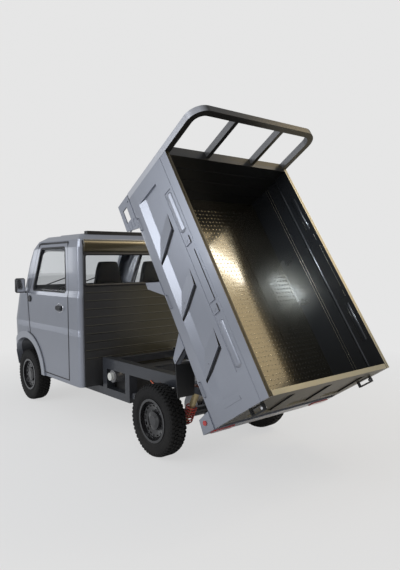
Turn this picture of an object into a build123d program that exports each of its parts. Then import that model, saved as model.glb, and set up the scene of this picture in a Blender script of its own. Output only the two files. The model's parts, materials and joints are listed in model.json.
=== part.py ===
from build123d import *
import math
import os

# Electric mini tipper truck with its load bed raised. Millimetres, +X forward, +Y left, +Z up.
# Everything is first placed with the rear axle at X = 0 and the ground at Z = 0. The whole truck is
# then moved along X so that its origin is under the middle of its length.

# Wheels and axles
wheelbase = 2300
track = 1090
tyre_radius = 270
tyre_width = 145
tyre_shoulder = 14
tyre_bead_radius = 152
lug_depth = 8
lug_gap = 10
lug_reach = 34
rim_flange_radius = 164
rim_flange_width = 118
rim_wall = 6
rim_disc_offset = 22
rim_cap_radius = 78
rim_cap_height = 28
rim_cap_edge_share = 0.88
rim_cap_rise_share = 0.7
rim_cap_crown_share = 0.5
rim_dish = 14
hub_length = 62
spindle_back = 18
rim_vent_radius = 122
rim_vent_width = 12
rim_vent_length = 26
rim_vent_count = 16
hub_radius = 34
spindle_radius = 26
running_gap = 0.3
seat_gap = 0.3

# Cab
cab_rear = 1085
cab_bottom = 330
cab_wall = 40
cab_half_width = 625
cab_rear_corner = 45
cab_front_corner = 315
cab_nose = 2790
cab_nose_bulge = 55
cab_shoulder_step = 520
cab_belt_step = 290
cab_cowl_step = 60
cab_pillar_step = 270
cab_brow_step = 130
cab_eave_step = 72
cab_top_step = 43
cab_chin_rake = 35
cab_belt_rake = 110
cab_cowl_rake = 280
cab_pillar_rake = 150
cab_brow_rake = 100
cab_eave_rake = 105
cab_top_rake = 120
cab_pillar_corner = 120
cab_header_round = 14
cab_top_round = 55
cab_top_narrowing = 70
cab_pillar_narrowing = 8
screen_slope_share = 1.2
cab_brow_drop_share = 0.4
cab_eave_drop_share = 0.9
cab_door_rear = 1310
cab_door_bottom = 370
door_top_margin = 17
cab_door_front = 2250
cab_sill_front = 1850
door_gap = 5
door_pillar_foot_back = 50
door_pillar_foot_margin = 20
door_pillar_top_back = 321
window_frame = 48
window_sill_margin = 25
window_corner = 30
glass_inset = 16
glass_thickness = 5
rear_window_half_width = 565
rear_window_bottom_margin = 50
rear_window_top_margin = 60
rear_window_corner = 35
screen_bottom_margin = 22
screen_top_margin = 15
screen_bottom_half = 520
screen_top_half = 480
screen_corner = 60
arch_radius = 400
flare_width = 68
flare_proud = 14
bumper_top = 500
bumper_proud = 18
rear_rib_pitch = 75
rear_rib_height = 10
rear_rib_depth = 5
rear_rib_count = 9
rear_rib_side_margin = 25
roof_panel_height = 22
roof_panel_half_width = 430
roof_panel_front = 1850
roof_panel_margin = 60
roof_strip_half_width = 500
roof_strip_height = 12
floor_thickness = 12
floor_height = 380
wheelhouse_wall_y = 330
wheelhouse_skin = 5
bulkhead_x = 2440
seat_box_front = 1620
seat_box_height = 300
seat_box_half_width = 560
headlamp_radius = 82
headlamp_y = 420
headlamp_height = 760
headlamp_depth = 45

# Seats
seat_y = 255
seat_width = 420
seat_cushion_length = 430
seat_cushion_thickness = 110
seat_back_thickness = 95
seat_back_gap = 42
seat_back_height = 800
seat_shoulder_height = 520
seat_shoulder_width = 360
seat_neck_height = 590
seat_neck_width = 260
seat_head_width = 210
seat_round = 45

# Chassis
rail_y = 400
rail_width = 80
rail_height = 95
rail_top = 600
rail_rear = -500
post_width = 70
front_post_x = 975
mid_post_x = 600
lower_rail_bottom = 262
lower_rail_front = 1850
inner_rail_y = 265
inner_rail_width = 66
inner_rail_front = 2600
cross_depth = 60
cross_height = 62
rear_cross_depth = 50
axle_cross_x = -100
mid_cross_x = 420
suspension_cross_x = 2300
hinge_x = -567
hinge_height = 580
hinge_pin_radius = 12
hinge_ear_radius = 24
hinge_ear_thickness = 12
hinge_tongue_thickness = 22
hinge_side_gap = 5
axle_tube_radius = 36
axle_housing_radius = 95
motor_radius = 90
motor_length = 230
arm_bush_radius = 27
arm_radius = 18
arm_y = 385
damper_foot_x = -150
damper_foot_height = 250
damper_top_x = -285
damper_y = 400
damper_radius = 24
damper_rod_radius = 9
damper_eye_radius = 17
spring_radius = 40
spring_wire = 9
spring_turn_count = 5
spring_length_share = 0.52
battery_rear = 650
battery_front = 1040
battery_half_width = 330
battery_bottom = 300
battery_height = 190
pump_x = 850
pump_height = 449
pump_y = 435
pump_radius = 55
pump_length = 150
pump_cap_radius = 34
pump_cap_length = 30

# Steering knuckles
kingpin_y = 430
knuckle_half_length = 34
knuckle_width = 44
knuckle_bottom = 235
knuckle_top = 345
strut_radius = 24
strut_top = 640
strut_spring_radius = 46
strut_spring_bottom = 560
lower_arm_height = 200
lower_arm_thickness = 22
lower_arm_half_base = 95
lower_arm_tip_radius = 26
ball_pin_radius = 10

# Mirrors and handles
mirror_x = 2290
mirror_y = 735
mirror_height = 1228
mirror_width = 150
mirror_depth = 52
mirror_tall = 78
mirror_arm_radius = 9
handle_x = 1480
handle_height = 1030
handle_length = 110
handle_tall = 46
handle_proud = 26
repeater_x = 2188
repeater_height = 1090
repeater_radius = 34
repeater_proud = 9

# Load bed, in its own frame: length along the floor from the rear end, width, height over its datum
tip_angle = 58
bed_hinge_along = 254
bed_hinge_over = 50
bed_length = 1820
bed_half_width = 635
bed_wall = 35
bed_side_bottom = 95
bed_rim = 650
bed_floor_top = 195
bed_floor_thickness = 12
bed_rail_bottom = 80
bed_rail_y = 400
bed_rail_width = 70
bed_rail_rear = 110
bed_rail_front = 1790
bed_cross_height = 45
bed_cross_width = 60
relief = 14
recess_rear = 215
recess_front = 1750
recess_bottom = 205
recess_top = 440
ledge_bottom = 150
rim_step = 545
rim_step_depth = 4
rib_centre = 485
rib_radius = 24
rib_height = 7
rib_length = 325
rib_rear = 340
square_size = 56
square_rise = 5
square_rear = 690
square_gap = 14
square_pitch = 125
strip_rear = 768
strip_length = 373
strip_height = 60
louvre_pitch = 422
louvre_first = 435
louvre_length = 118
louvre_slant = 92
louvre_bottom = 208
louvre_top = 384
louvre_rise = 16
louvre_slot = 22
inner_step_height = 4
inner_step_shares = (0.22, 0.48, 0.74)
bed_cross_shares = (0.1, 0.25, 0.43, 0.6, 0.76, 0.93)
bed_floor_rear = 45
headboard_thickness = 30
tailgate_thickness = 34
tailgate_bottom = 150
tailgate_hinge_inset = 14
tailgate_hinge_height = 166
tailgate_pin_radius = 6
tailgate_gap = 5
tailgate_panel_margin = 60
tailgate_panel_top_margin = 90
tailgate_recess = 10
tailgate_slant = 90
tailgate_panel_count = 3
latch_y = 560
latch_height = 455
latch_length = 120
latch_width = 26
latch_proud = 42
latch_bar = 9
guard_height = 1060
guard_depth = 50
guard_tube = 48
guard_half_width = 632
guard_corner = 130
guard_bar = 34
guard_bar_y = 233
guard_foot = 100
lamp_panel_thickness = 8
lamp_panel_length = 118
lamp_panel_drop = 126
lamp_panel_foot_share = 0.84
lamp_panel_lift = 12
light_bar_height = 105
light_bar_top = 72
light_bar_depth = 32
lamp_width = 190
lamp_height = 62
lamp_proud = 6
lamp_inset = 30
reflector_radius = 17
reflector_along = 62
reflector_over = 30
bracket_plate = 10
bracket_inset = 2
stake_bracket_length = 165
stake_bracket_tip = 60
stake_bracket_drop = 178
stake_bracket_first = 520
stake_bracket_pitch = 495
front_bracket_length = 255
front_bracket_drop = 155
front_bracket_margin = 50
front_bracket_window_length = 120
front_bracket_window_height = 60
front_bracket_end = 1865
flap_thickness = 8
flap_width = 130
flap_drop = 250

# Tipping cylinder
cylinder_foot_x = -390
cylinder_foot_height = 300
cylinder_eye_along = 600
cylinder_eye_over = 95
cylinder_barrel_radius = 36
cylinder_barrel_length = 335
cylinder_rod_radius = 18
cylinder_eye_radius = 28
cylinder_pin_radius = 14
cylinder_cheek = 14
cylinder_eye_width = 60
cylinder_side_gap = 5
cylinder_neck = 34

# Interior
dash_rear = 2120
dash_bottom = 760
dash_top = 1105
dash_half_width = 560
dash_wall = 15
dash_foot_share = 0.33
dash_brow_share = 0.17
dash_drop_share = 0.12
wheel_rim_radius = 178
wheel_rim_tube = 13
wheel_centre_x = 1960
wheel_centre_y = 255
wheel_centre_height = 1060
wheel_lean_angle = 40
column_radius = 24

cut_over = 60
big = 4000


def block(x0, x1, y0, y1, z0, z1):
    return Pos((x0 + x1) / 2, (y0 + y1) / 2, (z0 + z1) / 2) * Box(x1 - x0, y1 - y0, z1 - z0)


def side_face(points):
    return make_face(Plane.XZ * Polyline(*points, close=True))


def side_prism(face, y0, y1):
    return extrude(Pos(0, y0, 0) * face, y1 - y0, dir=(0, 1, 0))


def across_prism(points, x0, x1):
    face = make_face(Plane.YZ * Polyline(*points, close=True))
    return extrude(Pos(x0, 0, 0) * face, x1 - x0, dir=(1, 0, 0))


def bar_between(start, end, radius):
    start = Vector(*start)
    end = Vector(*end)
    plane = Plane(origin=start, z_dir=end - start)
    return extrude(plane * Circle(radius), (end - start).length)


def mirrored(shape):
    return mirror(shape, about=Plane.XZ)


def pair(shape):
    return shape + mirrored(shape)


def cross_tube(radius, y0, y1, x, z):
    return Pos(x, (y0 + y1) / 2, z) * Rot(90, 0, 0) * Cylinder(radius, y1 - y0)


# Levels of the cab, each a step above the last, and how far its nose has leaned back there
cab_shoulder_height = cab_bottom + cab_shoulder_step
cab_belt_height = cab_shoulder_height + cab_belt_step
cab_cowl_height = cab_belt_height + cab_cowl_step
cab_pillar_height = cab_cowl_height + cab_pillar_step
cab_brow_height = cab_pillar_height + cab_brow_step
cab_eave_height = cab_brow_height + cab_eave_step
cab_top_height = cab_eave_height + cab_top_step
nose_belt = cab_nose - cab_belt_rake
nose_cowl = nose_belt - cab_cowl_rake
nose_pillar = nose_cowl - cab_pillar_rake
nose_brow = nose_pillar - cab_brow_rake
nose_eave = nose_brow - cab_eave_rake
nose_top = nose_eave - cab_top_rake
cab_door_top = cab_eave_height - door_top_margin
door_pillar_foot_height = cab_cowl_height - door_pillar_foot_margin
window_sill = cab_cowl_height - window_sill_margin
rear_window_bottom = cab_cowl_height + rear_window_bottom_margin
rear_window_top = cab_brow_height - rear_window_top_margin
screen_bottom = cab_cowl_height + screen_bottom_margin
screen_top = cab_brow_height - screen_top_margin


# Cab form: level, half width, rear corner, rear face, nose corner, nose middle, slope share, drop share
def cab_levels():
    w = cab_half_width
    low = cab_front_corner
    high = cab_pillar_corner
    narrow = w - cab_pillar_narrowing
    return [
        (cab_bottom, w, cab_rear, cab_nose - cab_chin_rake, low, 1.0, 0.0),
        (cab_shoulder_height, w, cab_rear, cab_nose, low, 1.0, 0.0),
        (cab_belt_height, w, cab_rear, nose_belt, low, 1.0, 0.0),
        (cab_cowl_height, narrow, cab_rear, nose_cowl, high, screen_slope_share, 0.0),
        (cab_pillar_height, narrow, cab_rear, nose_pillar, high, screen_slope_share, 0.0),
        (cab_brow_height, narrow, cab_rear, nose_brow, high, screen_slope_share, cab_brow_drop_share),
        (cab_eave_height, narrow - cab_header_round, cab_rear + cab_header_round, nose_eave, high,
         screen_slope_share, cab_eave_drop_share),
        (cab_top_height, w - cab_top_narrowing, cab_rear + cab_top_round, nose_top, high,
         screen_slope_share, 1.0),
    ]


def cab_outline(z, half, rear, nose, corner, inset, slope_share, drop_share):
    half = half - inset
    rear = rear + inset
    nose = nose - inset * slope_share
    bulge = nose + cab_nose_bulge
    outline = Polyline((nose, half), (rear, half), (rear, -half), (nose, -half))
    outline += ThreePointArc((nose, -half), (bulge, 0), (nose, half))
    face = make_face(outline)
    corners = face.vertices().sort_by(Axis.X)
    face = fillet(corners[:2], max(cab_rear_corner - inset, door_gap))
    corners = face.vertices().sort_by(Axis.X)
    face = fillet(corners[-2:], corner - inset)
    return Pos(0, 0, z - inset * drop_share) * face


def cab_form(inset):
    rows = cab_levels()
    return loft([cab_outline(z, half, rear, nose, corner, inset, slope, drop)
                 for z, half, rear, nose, corner, slope, drop in rows], ruled=True)


parts = {}
front_x = wheelbase
cab_outer = cab_form(0)
cab_shell = cab_outer - cab_form(cab_wall)

# Outline of a door, seen from the side, with the arch's curve at its front lower corner
door_outline = side_face([
    (cab_door_rear, cab_door_bottom),
    (cab_door_front, cab_door_bottom),
    (cab_door_front, cab_belt_height),
    (cab_door_front - door_pillar_foot_back, door_pillar_foot_height),
    (cab_door_front - door_pillar_top_back, cab_door_top),
    (cab_door_rear, cab_door_top),
])
flare_outer = arch_radius + flare_width
arch_centre = Pos(front_x, 0, tyre_radius) * Rot(90, 0, 0)
window_above = side_face([
    (cab_door_rear, window_sill),
    (cab_door_front, window_sill),
    (cab_door_front, cab_door_top),
    (cab_door_rear, cab_door_top),
])
window_outline = offset(door_outline, -window_frame) & window_above
door_outline = door_outline - arch_centre * Circle(flare_outer + door_gap)
door_hole = offset(door_outline, door_gap)
window_outline = fillet(window_outline.vertices(), window_corner)

side_zone = cab_half_width - cab_rear_corner
side_out = cab_half_width + cut_over
opening_hole = side_prism(door_hole, wheelhouse_wall_y, side_out)
door_blank = side_prism(door_outline, wheelhouse_wall_y, side_out)
window_hole = side_prism(window_outline, wheelhouse_wall_y, side_out)
arch_one = cross_tube(arch_radius, wheelhouse_wall_y, side_out, front_x, tyre_radius)
arch_hole = arch_one + mirrored(arch_one)

door = (cab_shell & door_blank) - window_hole
glass_skin = cab_form(glass_inset) - cab_form(glass_inset + glass_thickness)
door_glass = glass_skin & window_hole
parts["door_left"] = door
parts["door_right"] = mirrored(door)
parts["door_glass_left"] = door_glass
parts["door_glass_right"] = mirrored(door_glass)

# The shell without its doors, split at the eaves, the rear wall and the fenders
half_shell = (cab_shell & block(0, big, 0, big, 0, big)) - opening_hole - arch_one
roof_split = cab_door_top + door_gap
upper = block(0, big, 0, big, roof_split, big)
rear_zone = block(0, cab_rear + cab_wall + cab_top_round, 0, side_zone, 0, roof_split)
front_zone = block(cab_sill_front, big, 0, big, 0, roof_split)
quarter_zone = block(0, cab_sill_front, 0, big, 0, roof_split)

rear_window = across_prism([
    (-rear_window_half_width, rear_window_bottom),
    (rear_window_half_width, rear_window_bottom),
    (rear_window_half_width, rear_window_top),
    (-rear_window_half_width, rear_window_top),
], cab_rear - cut_over, cab_rear + cut_over)
rear_window = fillet(rear_window.edges().filter_by(Axis.X), rear_window_corner)
rear_wall = pair(half_shell & rear_zone) - rear_window
for row in range(rear_rib_count):
    level = rear_window_bottom - rear_rib_pitch * (row + 1) + rear_rib_height
    rib_half = side_zone - rear_rib_side_margin
    rear_wall -= block(cab_rear - cut_over, cab_rear + rear_rib_depth, -rib_half, rib_half,
                       level - rear_rib_height, level)
parts["cab_rear_wall"] = rear_wall

parts["cab_quarters"] = pair((half_shell & quarter_zone) - rear_zone)

roof_rear = cab_rear + cab_top_round + roof_panel_margin
roof_panel = block(roof_rear, roof_panel_front, -roof_panel_half_width, roof_panel_half_width,
                   cab_top_height, cab_top_height + roof_panel_height)
roof_panel = chamfer(roof_panel.faces().sort_by(Axis.Z)[-1].edges(), roof_panel_height / 2)
parts["cab_roof"] = pair(half_shell & upper) + roof_panel
strip_rear_x = cab_rear + cab_top_round + seat_gap
parts["roof_strip"] = block(strip_rear_x, roof_rear - seat_gap, -roof_strip_half_width,
                            roof_strip_half_width, cab_top_height, cab_top_height + roof_strip_height
                            + roof_panel_height)

screen_hole = across_prism([
    (-screen_bottom_half, screen_bottom),
    (screen_bottom_half, screen_bottom),
    (screen_top_half, screen_top),
    (-screen_top_half, screen_top),
], cab_door_front - door_pillar_top_back, big)
screen_hole = fillet(screen_hole.edges().filter_by(Axis.X), screen_corner)
headlamp_hole = Pos(cab_nose, headlamp_y, headlamp_height) * Rot(0, 90, 0) * Cylinder(
    headlamp_radius, cab_nose - cab_door_front)
parts["front_panel"] = pair((half_shell & front_zone) - screen_hole - headlamp_hole)

rear_glass_zone = block(cab_rear, cab_rear + cab_wall, -rear_window_half_width,
                        rear_window_half_width, rear_window_bottom, rear_window_top)
rear_glass = glass_skin & (rear_window & rear_glass_zone)
parts["cab_glass"] = (glass_skin & screen_hole) + rear_glass

lamp_skin = cab_outer - cab_form(headlamp_depth)
lamp_zone = Pos(cab_nose, headlamp_y, headlamp_height) * Rot(0, 90, 0) * Cylinder(
    headlamp_radius - seat_gap, cab_nose - cab_door_front)
headlamp = lamp_skin & lamp_zone
parts["headlamps"] = pair(headlamp)

# Flared lips round the front arches, and the bumper between them
flare_skin = cab_form(-flare_proud) - cab_form(-seat_gap)
flare_ring = cross_tube(flare_outer, wheelhouse_wall_y, side_out, front_x, tyre_radius)
flare_ring -= cross_tube(arch_radius, 0, side_out + cut_over, front_x, tyre_radius)
flare_ring -= block(0, front_x, -big, big, 0, cab_bottom)
flare_ring -= block(front_x, big, -big, big, 0, bumper_top + seat_gap)
parts["wheel_flares"] = pair(flare_skin & flare_ring)
bumper_skin = cab_form(-bumper_proud) - cab_form(-seat_gap)
bumper_zone = block(front_x, big, -big, big, cab_bottom, bumper_top)
parts["front_bumper"] = (bumper_skin & bumper_zone) - arch_hole

# Floor pan with its wheelhouses, bulkhead and seat box
inner_half = cab_half_width - cab_wall - seat_gap
floor_rear = cab_rear + cab_wall + seat_gap
floor = block(floor_rear, bulkhead_x, -inner_half, inner_half, floor_height - floor_thickness,
              floor_height)
skirt = block(floor_rear, cab_sill_front, -rail_y - rail_width / 2, rail_y + rail_width / 2,
              cab_bottom, floor_height - floor_thickness)
bulkhead = block(bulkhead_x, bulkhead_x + floor_thickness, -inner_half, inner_half, cab_bottom,
                 dash_bottom)
seat_box = block(floor_rear, seat_box_front, -seat_box_half_width, seat_box_half_width,
                 floor_height, floor_height + seat_box_height)
seat_box -= block(floor_rear - cut_over, seat_box_front - floor_thickness,
                  floor_thickness - seat_box_half_width, seat_box_half_width - floor_thickness,
                  floor_height - floor_thickness, floor_height + seat_box_height - floor_thickness)
house_out = cross_tube(arch_radius, wheelhouse_wall_y, inner_half, front_x, tyre_radius)
house_in = cross_tube(arch_radius - wheelhouse_skin, wheelhouse_wall_y + wheelhouse_skin,
                      inner_half + cut_over, front_x, tyre_radius)
house_zone = block(0, big, 0, big, cab_bottom, big)
house = house_out & house_zone
floor_pan = floor + skirt + bulkhead + seat_box + pair(house)
floor_pan -= pair(house_in)
parts["cab_floor"] = floor_pan & cab_form(cab_wall + seat_gap)

# Seats: a cushion with a back that narrows to its head part
back_points = [
    (-seat_width / 2, 0),
    (seat_width / 2, 0),
    (seat_shoulder_width / 2, seat_shoulder_height),
    (seat_neck_width / 2, seat_neck_height),
    (seat_head_width / 2, seat_back_height),
    (-seat_head_width / 2, seat_back_height),
    (-seat_neck_width / 2, seat_neck_height),
    (-seat_shoulder_width / 2, seat_shoulder_height),
]
seat_rear = floor_rear + seat_back_gap
seat_top_of_box = floor_height + seat_box_height
back_face = make_face(Plane.YZ * Polyline(*back_points, close=True))
back_face = fillet(back_face.vertices(), seat_round)
seat_back = extrude(back_face, seat_back_thickness, dir=(1, 0, 0))
seat_back = Pos(seat_rear, seat_y, seat_top_of_box + seat_gap) * seat_back
cushion_front = seat_rear + seat_back_thickness + seat_cushion_length
cushion = block(seat_rear + seat_back_thickness + seat_gap, cushion_front, seat_y - seat_width / 2,
                seat_y + seat_width / 2, seat_top_of_box + seat_gap,
                seat_top_of_box + seat_cushion_thickness)
cushion = fillet(cushion.edges().filter_by(Axis.Z), seat_round)
parts["seats"] = pair(seat_back + cushion)

# Dashboard across the bulkhead, with the steering column and wheel
dash_depth = bulkhead_x - dash_rear
dash_face = side_face([
    (bulkhead_x - seat_gap, dash_bottom + seat_gap),
    (dash_rear + dash_depth * dash_foot_share, dash_bottom + seat_gap),
    (dash_rear, (dash_bottom + dash_top) / 2),
    (dash_rear + dash_depth * dash_brow_share, dash_top - dash_depth * dash_drop_share),
    (dash_rear + dash_depth / 2, dash_top),
    (bulkhead_x - seat_gap, dash_top),
])
dash_block = side_prism(dash_face, -dash_half_width, dash_half_width)
dash = dash_block - side_prism(offset(dash_face, -dash_wall), dash_wall - dash_half_width,
                                dash_half_width - dash_wall)
parts["dashboard"] = dash & cab_form(cab_wall + seat_gap)
wheel_plane = Plane(
    origin=(wheel_centre_x, wheel_centre_y, wheel_centre_height),
    z_dir=(math.cos(math.radians(wheel_lean_angle)), 0, -math.sin(math.radians(wheel_lean_angle))))
ring = wheel_plane * Torus(wheel_rim_radius, wheel_rim_tube)
hub_disc = wheel_plane * Cylinder(column_radius * 2, column_radius)
spokes = wheel_plane * Box(wheel_rim_tube * 2, wheel_rim_radius * 2, wheel_rim_tube)
spokes += wheel_plane * Pos(wheel_rim_radius / 2, 0, 0) * Box(wheel_rim_radius, wheel_rim_tube * 2,
                                                              wheel_rim_tube)
column_end = dash_rear + dash_depth * dash_foot_share
column_run = (column_end - wheel_centre_x) / wheel_plane.z_dir.X
column = wheel_plane * Pos(0, 0, column_run / 2) * Cylinder(column_radius, column_run)
parts["steering_wheel"] = (ring + hub_disc + spokes + column) - dash_block

# Mirrors on arms at the pillars' feet, and the door furniture
mirror_head = block(mirror_x - mirror_depth / 2, mirror_x + mirror_depth / 2,
                    mirror_y - mirror_width / 2, mirror_y + mirror_width / 2,
                    mirror_height - mirror_tall / 2, mirror_height + mirror_tall / 2)
mirror_head = fillet(mirror_head.edges().filter_by(Axis.X), mirror_tall / 4)
mirror_head = chamfer(mirror_head.faces().sort_by(Axis.X)[-1].edges(), mirror_depth / 4)
arm_inner = cab_half_width - cab_wall / 2
mirror_arm = bar_between((mirror_x, arm_inner, cab_belt_height), (mirror_x, mirror_y, mirror_height),
                         mirror_arm_radius)
mirror_one = (mirror_head + mirror_arm) - cab_form(-seat_gap)
parts["mirrors"] = pair(mirror_one)
handle_y = cab_half_width + seat_gap
handle = block(handle_x - handle_length / 2, handle_x + handle_length / 2, handle_y,
               handle_y + handle_proud, handle_height - handle_tall / 2,
               handle_height + handle_tall / 2)
handle = fillet(handle.edges().filter_by(Axis.Y), handle_tall / 3)
handle = chamfer(handle.faces().sort_by(Axis.Y)[-1].edges(), handle_proud / 3)
repeater = cross_tube(repeater_radius, handle_y, handle_y + repeater_proud, repeater_x,
                      repeater_height)
parts["door_fittings_left"] = handle + repeater
parts["door_fittings_right"] = mirrored(handle + repeater)

# Chassis: two upper rails behind the cab, posts, lower rails under the cab and cross members
rail_low = rail_top - rail_height
rail_in = rail_y - rail_width / 2
rail_out = rail_y + rail_width / 2
front_post_end = front_post_x + post_width / 2
rail_side = block(rail_rear, front_post_end, rail_in, rail_out, rail_low, rail_top)
for post_x in (front_post_x, mid_post_x):
    rail_side += block(post_x - post_width / 2, post_x + post_width / 2, rail_in, rail_out,
                       lower_rail_bottom, rail_low)
rail_side += block(mid_post_x - post_width / 2, lower_rail_front, rail_in, rail_out,
                   lower_rail_bottom, cab_bottom)
inner_in = inner_rail_y - inner_rail_width / 2
inner_out = inner_rail_y + inner_rail_width / 2
rail_side += block(lower_rail_front - cross_depth, inner_rail_front, inner_in, inner_out,
                   lower_rail_bottom, cab_bottom)
chassis = pair(rail_side)
cross_top = rail_top - (rail_height - cross_height) / 2
chassis += block(rail_rear, rail_rear + rear_cross_depth, -rail_in, rail_in, cross_top - cross_height,
                 cross_top)
for cross_x in (axle_cross_x, mid_cross_x, front_post_x):
    chassis += block(cross_x - cross_depth / 2, cross_x + cross_depth / 2, -rail_in, rail_in,
                     cross_top - cross_height, cross_top)
for cross_x in (mid_post_x, front_post_x):
    chassis += block(cross_x - cross_depth / 2, cross_x + cross_depth / 2, -rail_in, rail_in,
                     lower_rail_bottom, battery_bottom - seat_gap)
for cross_x in (lower_rail_front - cross_depth / 2, inner_rail_front - cross_depth / 2,
                suspension_cross_x):
    reach = rail_in if cross_x < lower_rail_front else inner_in
    chassis += block(cross_x - cross_depth / 2, cross_x + cross_depth / 2, -reach, reach,
                     lower_rail_bottom, cab_bottom)

# Rear hinge: ears and a pin on each rail
ear_ys = (bed_rail_y - hinge_tongue_thickness / 2 - hinge_side_gap - hinge_ear_thickness,
          bed_rail_y + hinge_tongue_thickness / 2 + hinge_side_gap)
hinge_fixed = cross_tube(hinge_pin_radius, ear_ys[0], ear_ys[1] + hinge_ear_thickness, hinge_x,
                         hinge_height)
for ear_y in ear_ys:
    ear = cross_tube(hinge_ear_radius, ear_y, ear_y + hinge_ear_thickness, hinge_x, hinge_height)
    ear += block(hinge_x, rail_rear, ear_y, ear_y + hinge_ear_thickness,
                 hinge_height - hinge_ear_radius, hinge_height)
    hinge_fixed += ear
chassis += pair(hinge_fixed)

# Cheeks that carry the foot of the tipping cylinder
foot_cross_front = rail_rear + rear_cross_depth
cheek_y = cylinder_barrel_radius + cylinder_side_gap
cheek = side_prism(side_face([
    (rail_rear, cross_top - cross_height / 2),
    (foot_cross_front, cross_top - cross_height / 2),
    (cylinder_foot_x + cylinder_eye_radius, cylinder_foot_height + cylinder_eye_radius),
    (cylinder_foot_x + cylinder_eye_radius, cylinder_foot_height - cylinder_eye_radius),
    (cylinder_foot_x - cylinder_eye_radius, cylinder_foot_height - cylinder_eye_radius),
    (rail_rear, rail_low),
]), cheek_y, cheek_y + cylinder_cheek)
foot_pin = cross_tube(cylinder_pin_radius, -cheek_y - cylinder_cheek, cheek_y + cylinder_cheek,
                      cylinder_foot_x, cylinder_foot_height)
chassis += pair(cheek) + foot_pin
parts["chassis_frame"] = chassis

# Rear axle with its gear housing, trailing arms and stub spindles
rear_axle = cross_tube(axle_tube_radius, -kingpin_y, kingpin_y, 0, tyre_radius)
rear_axle += Pos(0, 0, tyre_radius) * Sphere(axle_housing_radius)
spindle_end = track / 2 - spindle_back - running_gap
rear_axle += pair(cross_tube(spindle_radius, kingpin_y, spindle_end, 0, tyre_radius))
arm_end = (0, arm_y, tyre_radius)
arm_pivot_x = mid_post_x - post_width / 2 - arm_bush_radius - seat_gap
arm_start = (arm_pivot_x, arm_y, lower_rail_bottom + cross_height)
rear_arm = bar_between(arm_start, arm_end, arm_radius)
rear_arm += cross_tube(arm_bush_radius, arm_y - post_width / 2, arm_y + post_width / 2,
                       arm_pivot_x, lower_rail_bottom + cross_height)
damper_lug = cross_tube(damper_eye_radius, damper_y - damper_radius, damper_y + damper_radius,
                        damper_foot_x, damper_foot_height)
damper_lug += bar_between((damper_foot_x, damper_y, damper_foot_height), (0, damper_y, tyre_radius),
                          arm_radius)
parts["rear_axle"] = rear_axle + pair(rear_arm + damper_lug)
motor_x = axle_housing_radius + motor_radius / 2
parts["drive_motor"] = cross_tube(motor_radius, -motor_length / 2, motor_length / 2, motor_x,
                                  tyre_radius) - (Pos(0, 0, tyre_radius)
                                                  * Sphere(axle_housing_radius + seat_gap))

# Coil-over dampers between the axle and the rails
damper_foot = Vector(damper_foot_x, damper_y, damper_foot_height)
damper_head = Vector(damper_top_x, damper_y, rail_low)
damper_run = damper_head - damper_foot
damper_plane = Plane(origin=damper_foot, z_dir=damper_run)
body_start = damper_eye_radius + seat_gap
spring_length = damper_run.length * spring_length_share
body_low = body_start + spring_length + seat_gap
body_length = damper_run.length - body_low
damper = damper_plane * Pos(0, 0, body_low + body_length / 2) * Cylinder(damper_radius, body_length)
rod_length = damper_run.length - body_start
damper += damper_plane * Pos(0, 0, body_start + rod_length / 2) * Cylinder(damper_rod_radius,
                                                                          rod_length)
damper -= block(-big, big, 0, big, rail_low, big)
parts["rear_dampers"] = pair(damper)
turn = spring_length / spring_turn_count
half_wire = spring_wire / 2
spring = Cylinder(spring_radius - half_wire, spring_length)
for step in range(spring_turn_count):
    level = -spring_length / 2 + turn * (step + 1 / 2)
    spring += Pos(0, 0, level) * Cylinder(spring_radius + half_wire, spring_wire)
spring -= Cylinder(damper_rod_radius + seat_gap, spring_length)
spring = damper_plane * Pos(0, 0, body_start + spring_length / 2) * spring
parts["rear_springs"] = pair(spring)

# Battery pack and the hydraulic pump unit with its pale filler cap
parts["battery_pack"] = block(battery_rear, battery_front, -battery_half_width, battery_half_width,
                              battery_bottom, battery_bottom + battery_height)
pump = cross_tube(pump_radius, pump_y - pump_length, pump_y, pump_x, pump_height)
parts["pump_unit"] = pump - block(-big, big, -battery_half_width - seat_gap,
                                  battery_half_width + seat_gap, 0, big)
parts["pump_cap"] = cross_tube(pump_cap_radius, pump_y + seat_gap, pump_y + pump_cap_length, pump_x,
                               pump_height)

# Front suspension: lower arms on the inner rails, and knuckles that carry strut and stub axle
arm_outline = make_face(Polyline(
    (front_x - lower_arm_half_base, inner_in),
    (front_x + lower_arm_half_base, inner_in),
    (front_x + lower_arm_tip_radius, kingpin_y),
    (front_x - lower_arm_tip_radius, kingpin_y), close=True))
arm_outline += Pos(front_x, kingpin_y) * Circle(lower_arm_tip_radius)
lower_arm = extrude(Pos(0, 0, lower_arm_height) * arm_outline, lower_arm_thickness)
lower_arm += block(front_x - lower_arm_half_base, front_x + lower_arm_half_base, inner_in, inner_out,
                   lower_arm_height + lower_arm_thickness, lower_rail_bottom - seat_gap)
parts["front_arms"] = pair(lower_arm)
knuckle = block(front_x - knuckle_half_length, front_x + knuckle_half_length,
                kingpin_y - knuckle_width / 2, kingpin_y + knuckle_width / 2, knuckle_bottom,
                knuckle_top)
ball_low = lower_arm_height + lower_arm_thickness + seat_gap
knuckle += Pos(front_x, kingpin_y, (ball_low + knuckle_bottom) / 2) * Cylinder(
    ball_pin_radius, knuckle_bottom - ball_low)
knuckle += Pos(front_x, kingpin_y, (knuckle_top + strut_top) / 2) * Cylinder(
    strut_radius, strut_top - knuckle_top)
knuckle += Pos(front_x, kingpin_y, (strut_spring_bottom + strut_top) / 2) * Cylinder(
    strut_spring_radius, strut_top - strut_spring_bottom)
knuckle += cross_tube(spindle_radius, kingpin_y, spindle_end, front_x, tyre_radius)
parts["knuckle_left"] = knuckle
parts["knuckle_right"] = mirrored(knuckle)

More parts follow.
